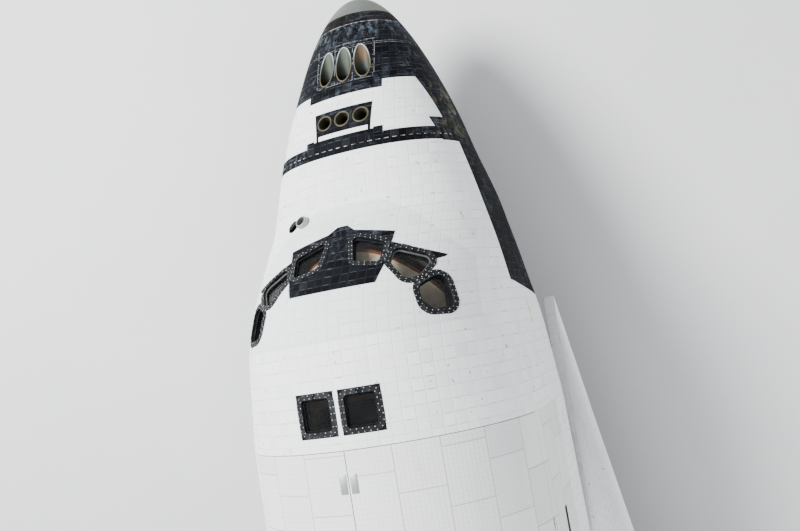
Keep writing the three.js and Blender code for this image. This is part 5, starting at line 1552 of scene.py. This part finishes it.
# Fin, rudder panels and the seals that close the cove ahead of them
finTable = [
    (5.4, 27.26, 33.2, 0.3), (5.994, 27.26, 33.282, 0.3), (6.74, 27.27, 33.65, 0.318),
    (7.976, 28.444, 34.26, 0.29), (13.081, 33.549, 36.777, 0.161), (14.021, 34.481, 37.236, 0.138),
]
finChord = [(0, 0), (0.02, 0.25), (0.08, 0.5), (0.2, 0.8), (0.42, 1), (0.62, 0.98), (1, 0.05)]
finCurve = throughPoints(np.sqrt([f for f, _ in finChord]), [share for _, share in finChord])
chute = {
    "z": 7.25, "tall": 1.15,
    "table": [
        (32.66, 0.06), (32.7, 0.15), (32.8, 0.212), (33.0, 0.256), (33.3, 0.3), (33.8, 0.303), (34.3, 0.3),
        (34.6, 0.232), (34.69, 0.205), (34.7, 0.15),
    ],
}
rudder = {
    "low": 7.976, "high": 13.081, "below": 0.085, "above": 0.15, "share": 0.6, "post": 0.06, "root": 0.18,
    "rings": {1: (0.7, 3.6), -1: (1.3, 4.2)}, "seals": {1: (0.97, 0.955), -1: (0.925, 0.91)},
}


def finRing(z, thin=1.0):
    lead, trail, thick = looked(finTable, z, 1, 2, 3)
    fractions = np.linspace(0, 1, 30)[1:] ** 2
    port = [(lead + f * (trail - lead), thick * thin * finCurve(sqrt(f)), z) for f in fractions]
    return [(lead, 0, z)] + port + [(s, -y, z) for s, y, z in port[::-1]]


def rudderHinge(z):
    low, high = np.array(finTable[3]), np.array(finTable[5])
    _, lead, trail, thick = low + (high - low) * ((z - low[0]) / (high[0] - low[0]))
    return np.array([lead + rudder["share"] * (trail - lead), 0, z]), thick, trail


(hingeLow, thickLow, _), (hingeHigh, thickHigh, _) = rudderHinge(rudder["low"]), rudderHinge(rudder["high"])
postSpan = float(np.linalg.norm(hingeHigh - hingeLow))
postAxis = (hingeHigh - hingeLow) / postSpan
postAhead = unit(postAxis * postAxis[0] - np.array([1.0, 0, 0]))


def postBar(low, high, radius, material, sides=40, endRadius=None):
    return bar(hingeLow + postAxis * low, hingeLow + postAxis * high, radius, material, sides, endRadius)


finQuilt = tiledMaterial("finQuilt", 0.0, 1.0)
finZs = sorted({5.4, 5.994, 6.74, 7.976, 13.081, *np.linspace(5.4, 13.95, 46)})
fin = loft([finRing(z) for z in finZs] + [finRing(13.99, 0.9), finRing(14.018, 0.62)], finQuilt)
turns = [(cos(t), sin(t)) for t in turnsOf(40)]
rings = [[(s, r * c, chute["z"] + chute["tall"] * r * d) for c, d in turns] for s, r in chute["table"]]
carve(fin, [loft(rings, whiteTiles)], "UNION")
_, upperAlong, _, upperExit = engineAxis(mainEngines["upper"])
space = []
for z in (rudder["low"] - rudder["below"], rudder["high"]):
    front = rudderHinge(z)[0][0] - 0.05
    space.append([(front, -0.9, z), (front, 0.9, z), (front + 5, 0.9, z), (front + 5, -0.9, z)])
carve(fin, [
    bar(upperExit - upperAlong * 2.2, upperExit + upperAlong * 0.4, 1.0, jointDark, 64, 1.3),
    loft(space, jointDark),
    postBar(0, postSpan, thickLow * 1.2 + 0.014, retainerGrey, 48, thickHigh * 1.2 + 0.014),
    postBar(-rudder["root"] - 0.0004, 0.08, rudder["post"] + 0.0006, jointDark),
])
settle("finBody", fin, "blanket", "fin")
post = [postBar(-rudder["root"], postSpan - 0.09, rudder["post"], steelBright, 32)]
post += [postBar(d, d + 0.05, 0.067, retainerGrey, 32) for d in (0.3, 2.2, 5.2)]
settle("rudderPost", post, "gear_metal", "rudder_post", body="rudder_post")
for side, sideName in bothSides:
    levels, shell = [], []
    for z in np.linspace(rudder["low"], rudder["high"] - rudder["above"], 24):
        point, thick, trail = rudderHinge(z)
        front, wide = point[0] + 0.012, thick * 0.97
        outer = [(front + (trail - front) * f, side * (wide + (0.02 - wide) * f), z) for f in np.linspace(0, 1, 12)]
        levels.append(outer + [(s, side * 0.004, z) for s, _, _ in outer[::-1]])
    panel = loft(levels, [finQuilt, retainerGrey], kindOf=lambda r, j: 0 if j < 12 else 1)
    cuts = [postBar(-0.3, postSpan + 0.3, rudder["post"] + 0.008, retainerGrey)]
    cuts += [postBar(d - 0.07, d + 0.07, 0.12, retainerGrey) for d in rudder["rings"][-side]]
    rudderParts = [carve(panel, cuts)]
    for d in rudder["rings"][side]:
        bore = postBar(d - 0.1, d + 0.1, rudder["post"] + 0.0006, steelBright)
        rudderParts.append(carve(postBar(d - 0.06, d + 0.06, 0.105, steelBright), [bore]))
    arc = [cos(t) * np.array([0, side, 0.0]) + sin(t) * postAhead for t in spread(-5, 68, 15)]
    for d in np.linspace(0.02, postSpan - 0.22, 12):
        centre, thick = hingeLow + postAxis * d, thickLow + (thickHigh - thickLow) * d / postSpan
        outer, inner = ([centre + thick * share * way for way in arc] for share in rudder["seals"][side])
        shell.append(outer + inner[::-1])
    rudderParts.append(loft(shell, retainerGrey))
    body = f"rudder_{sideName}"
    settle(f"rudder{sideName.title()}", rudderParts, "blanket", body, body=body)
print("fin and rudder built")

# Orbital engine pods with their thruster bowls
podTable = np.array([
    (27.3, 1.7, 4.95, 0.16, 0.16), (27.9, 1.78, 4.99, 0.48, 0.43), (28.9, 1.9, 5.05, 0.84, 0.78),
    (30.3, 2.1, 5.13, 1.15, 1.08), (31.8, 2.35, 5.2, 1.38, 1.23), (32.9, 2.42, 5.23, 1.38, 1.22),
    (33.45, 2.42, 5.25, 1.26, 1.12), (33.5, 2.42, 5.25, 1.18, 1.04),
])
podThrusters = {
    "stations": (32.35, 32.72, 33.09), "turns": (8, 72), "back": ((1.62, 5.1), (1.62, 4.8), (3.05, 4.85)),
    "bowl": [(0, 0.115), (0.1, 0.115), (0.26, 0.065), (0.31, 0.045), (0.36, 0.04)],
    "rim": [(0, 0.135), (0.012, 0.132), (0.012, 0.117), (-0.05, 0.1155), (-0.05, 0.135)],
    "backBowl": [(0, 0.09), (0.08, 0.09), (0.2, 0.05), (0.3, 0.04)],
}
podBell = {
    "table": [(0, 0.56), (0.25, 0.53), (0.5, 0.475), (0.75, 0.395), (0.95, 0.3), (1.0, 0.275)],
    "places": (0.16, 0.42, 0.7), "half": 0.018, "height": 0.014, "wall": 0.018, "closeAt": 0.9,
    "base": [(-0.2, 0.46), (0.02, 0.46), (0.05, 0.44), (0.06, 0.36), (0.09, 0.29)],
}
podCurves = [throughPoints(podTable[:, 0], podTable[:, k]) for k in range(1, 5)]


def podBlack(folded):
    station = folded.parts()[0]
    return most(28.15 - station, station - 33.3).crisp()


def onPod(s, turns):
    y, z, wide, high = (curve(s) for curve in podCurves)
    return [np.array([s, y + wide * cos(t), z + high * sin(t)]) for t in turns]


podQuilt = tiledMaterial("podQuilt", podBlack, lambda folded, black: 1.0 - black)
podStations = [27.3, 27.36, 27.45, 27.58, *np.linspace(27.75, 33.36, 56), 33.42, 33.46, 33.485, 33.5]
pod = loft([onPod(s, turnsOf(96)) for s in podStations], podQuilt)
podCutters, podRims, turns = [], [], np.radians(podThrusters["turns"])
for s in podThrusters["stations"]:
    for place, t in zip(onPod(s, turns), turns):
        out = np.array([0, cos(t), sin(t)])
        podCutters.append(turned(place + out * 0.08, -out, podThrusters["bowl"], lowBowl, 40))
        podRims.append(turned(place - out * 0.004, out, podThrusters["rim"], retainerGrey, 40, 35, True))
for y, z in podThrusters["back"]:
    podCutters.append(turned((33.56, y, z), (-1, 0, 0), podThrusters["backBowl"], lowBowl, 32))
settlePair("pod", [carve(pod, podCutters)] + podRims, "blanket", "engine_pod_{}")
settlePair("podBell", [
    turnedBell((34.5004, 2.26, 5.56), (-1, 0, 0), podBell, 72),
    turned((33.49, 2.26, 5.56), (1, 0, 0), podBell["base"], collarGrey, 56),
], "nozzle", "pod_engine_{}")
print("engine pods built")

# Landing gear
portward = np.array([0, 1.0, 0])
noseGear = {
    "station": 3.6, "y": 0.0, "axleZ": -0.764, "radius": 0.406, "width": 0.224, "rim": 0.203,
    "track": 0.28, "axle": 0.048,
    "leg": [
        (0.15, 0.09), (0.152, 0.095), (0.2, 0.095), (0.205, 0.108), (0.26, 0.108), (0.265, 0.092),
        (0.62, 0.092), (0.625, 0.104), (0.68, 0.104), (0.685, 0.092), (1.1, 0.092), (1.105, 0.11),
        (1.3, 0.11), (1.305, 0.092), (1.6496, 0.092),
    ],
    "lamp": [
        (0, 0.0001), (-0.012, 0.03), (-0.012, 0.062), (0.0, 0.07), (0.05, 0.066), (0.08, 0.03), (0.082, 0.0001),
    ],
    "hoses": [
        (0.012, [(3.7, 0.03, 1.6), (3.71, 0.05, 1.2), (3.705, 0.055, 0.7), (3.71, 0.04, 0.3)]),
        (0.009, [(3.7, -0.04, 1.6), (3.71, -0.055, 1.1), (3.705, -0.05, 0.6), (3.71, -0.04, 0.3)]),
    ],
}
mainGear = {
    "station": 23.774, "y": 3.454, "axleZ": -1.834, "radius": 0.57, "width": 0.406, "rim": 0.267,
    "track": 0.42, "axle": 0.08,
    "leg": [
        (-0.95, 0.12), (-0.945, 0.15), (-0.86, 0.15), (-0.855, 0.168), (-0.78, 0.168), (-0.775, 0.146),
        (-0.25, 0.146), (-0.245, 0.162), (-0.15, 0.162), (-0.145, 0.146), (0.4, 0.146), (0.405, 0.175),
        (0.6, 0.175), (0.605, 0.146), (0.9496, 0.146),
    ],
    "hoses": [
        [(23.6, 3.5, 0.9), (23.6, 3.51, 0.2), (23.61, 3.5, -0.6),
         (23.63, 3.5, -1.0), (23.66, 3.52, -1.35), (23.66, 3.58, -1.68)],
        [(23.62, 3.39, 0.9), (23.61, 3.38, 0.1), (23.61, 3.39, -0.6),
         (23.63, 3.4, -1.0), (23.66, 3.38, -1.35), (23.66, 3.33, -1.68)],
    ],
}
wheelProfile = [
    (0.62, 0.0001), (0.62, 0.2), (0.56, 0.245), (0.4, 0.26), (0.36, 0.3), (0.36, 0.58), (0.42, 0.66),
    (0.66, 0.78), (0.7, 0.86), (0.78, 0.88), (0.8, 0.94), (0.78, 0.998), (-0.78, 0.998), (-0.8, 0.94),
    (-0.78, 0.88), (-0.7, 0.86), (-0.5, 0.8), (-0.5, 0.3), (-0.55, 0.0001),
]
rubber, rubberTree, rubberShader = newMaterial("tyreRubber", spec=0.3)
marks = useGroup(rubberTree, grimeAndGrain, {"Scale": 5.0, "Low": 0.4, "High": 0.8})
rubberColour = mix(marks["Patch"], (0.02, 0.02, 0.021), (0.062, 0.06, 0.056))
dress(rubberShader, rubberColour, marks["Grain"].rise(0.2, 0.8, 0.62, 0.86), marks["Grain"], 0.0012)
chrome = plainMaterial("strutChrome", (0.72, 0.73, 0.74), (0.62, 0.62, 0.61), 0.14, 1.0, scale=6.0)
gearWhite = plainMaterial("gearWhite", (0.7, 0.71, 0.7), (0.52, 0.51, 0.48), 0.42, scale=3.5)
hoseBlack = plainMaterial("hoseBlack", (0.03, 0.03, 0.032), (0.06, 0.06, 0.06), 0.5, scale=9.0)
brakeIron = plainMaterial("brakeIron", (0.19, 0.17, 0.15), (0.1, 0.09, 0.08), 0.5, 0.8, scale=12.0)


def tyre(gear, y):
    w, r, rim = gear["width"] / 2, gear["radius"], gear["rim"] + 0.0004
    side = [(0.8, rim), (0.86, rim + 0.012), (0.93, rim + 0.03)]
    wall = ((0.995, 0.34), (1.0, 0.52), (0.97, 0.74), (0.88, 0.9), (0.74, 0.968))
    side += [(d, rim + share * (r - rim)) for d, share in wall] + [(0.58, r - 0.0035)]
    crown = []
    for middle in (0.4, 0.0, -0.4):
        edge, floor = r - abs(middle) * 0.004, r - 0.013
        groove = ((0.055, edge), (0.045, floor), (-0.045, floor), (-0.055, edge))
        crown += [(middle + across, radius) for across, radius in groove]
    profile = [(w * d, radius) for d, radius in side + crown + [(-d, radius) for d, radius in side[::-1]]]
    return turned((gear["station"], y, gear["axleZ"]), portward, profile, rubber, 96, 40, True)


# An axle with two wheels, each with its bolts, and black discs that stand for its cooling holes as painted shade
def wheelPair(gear, y):
    s, z, w, rim, track = gear["station"], gear["axleZ"], gear["width"] / 2, gear["rim"], gear["track"]
    reach = track + gear["width"] * 0.3
    parts = [bar((s, y - reach, z), (s, y + reach, z), gear["axle"], chrome, 40)]
    for side in (1, -1):
        start, direction = np.array([s, y + side * track, z]), portward * side
        parts.append(turned(start, direction, [(w * d, rim * r) for d, r in wheelProfile], gearWhite, 72))
        # the second row is black discs, painted shade standing in for open cooling holes
        for count, ring, size, depth, sides, metal in (
            (10, 0.44, 0.04, 0.36, 6, steelBright), (9, 0.72, 0.075, 0.56, 16, hoseBlack),
        ):
            spot = start + direction * w * (depth - 0.03) + frameAlong(direction)[0] * rim * ring
            head = [(0, rim * size), (0.016, rim * size), (0.022, rim * size * 0.7)]
            bolt = turned(spot, direction, head, (), sides)
            parts.append(copies(bolt, count, metal, centre=start, axis=direction, turn=2 * pi / count))
    return parts


def linkArm(start, end, half, thick):
    start, end = np.array(start), np.array(end)
    over, rings = np.cross(unit(end - start), portward), []
    for t, wide, deep in ((0, 1.0, 0.8), (0.1, 1.0, 1.0), (0.5, 0.72, 0.8), (0.9, 0.6, 1.0), (1, 0.6, 0.7)):
        p, a, b = start + (end - start) * t, portward * half * wide, over * thick * deep / 2
        rings.append([p - a - b, p + a - b, p + a + b, p - a + b])
    return soften(loft(rings, gearWhite), 0.006)


def sleeve(start, end, radius, bore, material=gearWhite):
    line = np.subtract(end, start)
    length, low = float(np.linalg.norm(line)), radius - 0.008
    profile = [(0, bore), (0, low), (0.008, radius), (length - 0.008, radius), (length, low), (length, bore)]
    return turned(start, line, profile, material, 56, 35, True)


def strut(gear, profile, material=gearWhite):
    return turned((gear["station"], gear["y"], 0.0), (0, 0, 1), profile, material, 56)


s, z = noseGear["station"], noseGear["axleZ"]
noseLeg = [
    strut(noseGear, noseGear["leg"]),
    bar((s, 0, 0.42), (2.45, 0, 1.53), 0.042, gearWhite, 28),
    bar((3.35, 0, 0.66), (2.95, 0, 1.05), 0.055, steelBright, 28),
    box(2.35, 2.55, -0.15, 0.15, 1.39, 1.6496, gearWhite, 0.02),
    bar((s, -0.42, 1.2), (s, 0.42, 1.2), 0.056, steelBright),
] + [tube(path, radius, hoseBlack, 8) for radius, path in noseGear["hoses"]]
for side in (1, -1):
    noseLeg.append(turned((3.49, side * 0.17, 0.52), (1, 0, 0), noseGear["lamp"], steelBright, 32))
    noseLeg.append(bar((3.53, side * 0.17, 0.52), (3.58, side * 0.04, 0.56), 0.012, gearWhite, 12))
settle("noseLeg", noseLeg, "gear_metal", "nose_gear_leg")
noseSteering = [
    strut(noseGear, [(z + 0.05, 0.062), (0.02, 0.062)], chrome),
    strut(noseGear, [(0.028, 0.1), (0.034, 0.11), (0.14, 0.11), (0.1492, 0.102)]),
    strut(noseGear, [(z - 0.02, 0.05), (z + 0.06, 0.078), (z + 0.16, 0.078), (z + 0.2, 0.062)]),
    sleeve((s, -0.07, z), (s, 0.07, z), 0.085, 0.0486),
    linkArm((3.665, 0, 0.06), (3.765, 0, -0.215), 0.055, 0.045),
    linkArm((3.66, 0, -0.5), (3.765, 0, -0.215), 0.055, 0.045),
    bar((3.765, -0.045, -0.215), (3.765, 0.045, -0.215), 0.024, steelBright, 24),
]
settle("noseSteering", noseSteering, "gear_metal", "nose_gear_steering", body="nose_steering")
settle("noseWheels", wheelPair(noseGear, 0.0), "gear_metal", "nose_wheel_hubs", body="nose_wheels")
for side, sideName in bothSides:
    tyrePiece = tyre(noseGear, side * noseGear["track"])
    settle(f"noseTyre{sideName.title()}", tyrePiece, "tyre", f"nose_tyre_{sideName}", body="nose_wheels")

s, y, z = mainGear["station"], mainGear["y"], mainGear["axleZ"]
mainLeg = [
    strut(mainGear, mainGear["leg"]),
    strut(mainGear, [(z + 0.1, 0.105), (-0.93, 0.105)], chrome),
    strut(mainGear, [(z - 0.03, 0.07), (z + 0.085, 0.12), (z + 0.2, 0.128), (z + 0.24, 0.105)]),
    sleeve((s, y - 0.12, z), (s, y + 0.12, z), 0.135, 0.0806),
    bar((s, y, -0.56), (21.7, y, 0.8), 0.055, gearWhite),
    bar((23.25, y, -0.216), (22.45, y, 0.308), 0.072, steelBright),
    box(21.55, 21.85, y - 0.18, y + 0.18, 0.65, 0.9496, gearWhite, 0.03),
    bar((s, y - 0.5, 0.5), (s, y + 0.5, 0.5), 0.08, steelBright, 36),
    linkArm((23.87, y, -0.83), (24.045, y, -1.18), 0.085, 0.06),
    linkArm((23.86, y, -1.56), (24.045, y, -1.18), 0.085, 0.06),
    bar((24.045, y - 0.07, -1.18), (24.045, y + 0.07, -1.18), 0.032, steelBright, 24),
] + [tube(path, 0.014, hoseBlack) for path in mainGear["hoses"]]
for side in (1, -1):
    mainLeg.append(sleeve((s, y + side * 0.128, z), (s, y + side * 0.205, z), 0.215, 0.09, brakeIron))
    centre = (s, y + side * 0.116, z)
    piston = turned((s + 0.15, *centre[1:]), portward * side, [(0, 0.026), (0.012, 0.026)], (), 16)
    mainLeg.append(copies(piston, 7, steelBright, centre=centre, axis=portward, turn=2 * pi / 7))
settlePair("mainLeg", mainLeg, "gear_metal", "main_gear_leg_{}")
settlePair("mainWheels", wheelPair(mainGear, y), "gear_metal", "main_wheel_hubs_{}", "main_wheels_{}")
for place, offset in (("outer", 1), ("inner", -1)):
    tyrePiece = tyre(mainGear, y + offset * mainGear["track"])
    settlePair(f"mainTyre{place.title()}", tyrePiece, "tyre", f"main_tyre_{place}_{{}}", "main_wheels_{}")


# Gear doors: tiled outside, ribbed and painted inside
def noseDoorShell(stations, y0, y1, drop, material):
    rings = []
    for s in stations:
        top, fractions = sectionAt(s)[2] + 0.06, np.linspace(0, 1, 9)
        rows = [(0.03 * t + 0.01 * sin(pi * t), top - t * (drop + 0.06)) for t in fractions]
        rings.append([(s, y0 + bow, z) for bow, z in rows] + [(s, y1 + bow, z) for bow, z in rows[::-1]])
    return loft(rings, material)


mainDoor = [
    box(20.915, 24.235, 4.262, 4.304, -1.45, 0.4, blackTiles, 0.012),
    box(20.93, 24.22, 4.244, 4.263, -1.435, 0.38, wellPaint, 0.006),
    copies(box(21.12, 21.17, 4.212, 4.246, -1.38, 0.06, (), 0.006), 7, wellPaint, (0.48, 0, 0)),
]
mainDoor += [box(21.0, 24.15, 4.218, 4.246, z - 0.025, z + 0.025, wellPaint, 0.006) for z in (-1.2, -0.55, 0.0)]
settlePair("mainGearDoor", mainDoor, "black_tile", "main_gear_door_{}")
doorStations = np.linspace(1.91, 3.89, 26)
noseDoor = [
    noseDoorShell(doorStations, 0.58, 0.604, 0.75, blackTiles),
    noseDoorShell(doorStations, 0.564, 0.581, 0.74, wellPaint),
]
noseDoor += [noseDoorShell((s, s + 0.03), 0.545, 0.566, 0.7, wellPaint) for s in 2.05 + 0.27 * np.arange(7)]
settlePair("noseGearDoor", noseDoor, "black_tile", "nose_gear_door_{}")
print("landing gear built")

# Camera, floor and light
cameraFit = {
    "place": (7.12753, -5.60173, 17.85127), "lens": 37.7655,
    "right": (-0.16507047, -0.925474, -0.34095397),
    "down": (-0.98223894, 0.18552685, -0.02804375),
    "forward": (0.08920988, 0.33026907, -0.93966161),
}
cameraData = bpy.data.cameras.new("photoCamera")
cameraData.lens, cameraData.sensor_width, cameraData.clip_end = cameraFit["lens"], 36.0, 500.0
camera = addObject("photoCamera", cameraData)
axes = [rowVector(*cameraFit["right"]), -rowVector(*cameraFit["down"]), -rowVector(*cameraFit["forward"])]
spot = Matrix.Translation(Vector(toRow(cameraFit["place"])))
camera.matrix_world = spot @ Matrix(axes).transposed().to_4x4()
scene.camera = camera

studio = {
    "floorHalf": 210.0, "floorZ": -0.002, "sky": 0.72, "skyColour": (0.92, 0.95, 1.0, 1),
    "lights": [  # name, place, target, size, power
        ("keyLight", (24, 16, 30), (8, 0, 3), 14, 17000.0), ("fillLight", (-4, -30, 22), (0, 0, 4), 18, 4200.0),
    ],
}
floorMesh = bpy.data.meshes.new("studioFloor")
corners = [(x, y, studio["floorZ"]) for x, y in ((-1, -1), (1, -1), (1, 1), (-1, 1))]
corners = [(x * studio["floorHalf"], y * studio["floorHalf"], z) for x, y, z in corners]
floorMesh.from_pydata(corners, [], [(0, 1, 2, 3)])
floorMesh.materials.append(plainMaterial("floorPaint", (0.72, 0.72, 0.72), (0.75, 0.75, 0.74), 0.75, scale=0.2))
addObject("studioFloor", floorMesh)
for name, place, target, size, power in studio["lights"]:
    data = bpy.data.lights.new(name, "AREA")
    data.shape, data.size, data.energy = "DISK", size, power
    light = addObject(name, data)
    light.location = place
    light.rotation_euler = (Vector(target) - Vector(place)).to_track_quat("-Z", "Y").to_euler()
world = bpy.data.worlds.new("studioSky")
scene.world = world
world.use_nodes = True
background = world.node_tree.nodes["Background"].inputs
background[0].default_value, background[1].default_value = studio["skyColour"], studio["sky"]
scene.view_settings.view_transform = "AgX"
scene.view_settings.look = "AgX - Medium High Contrast"
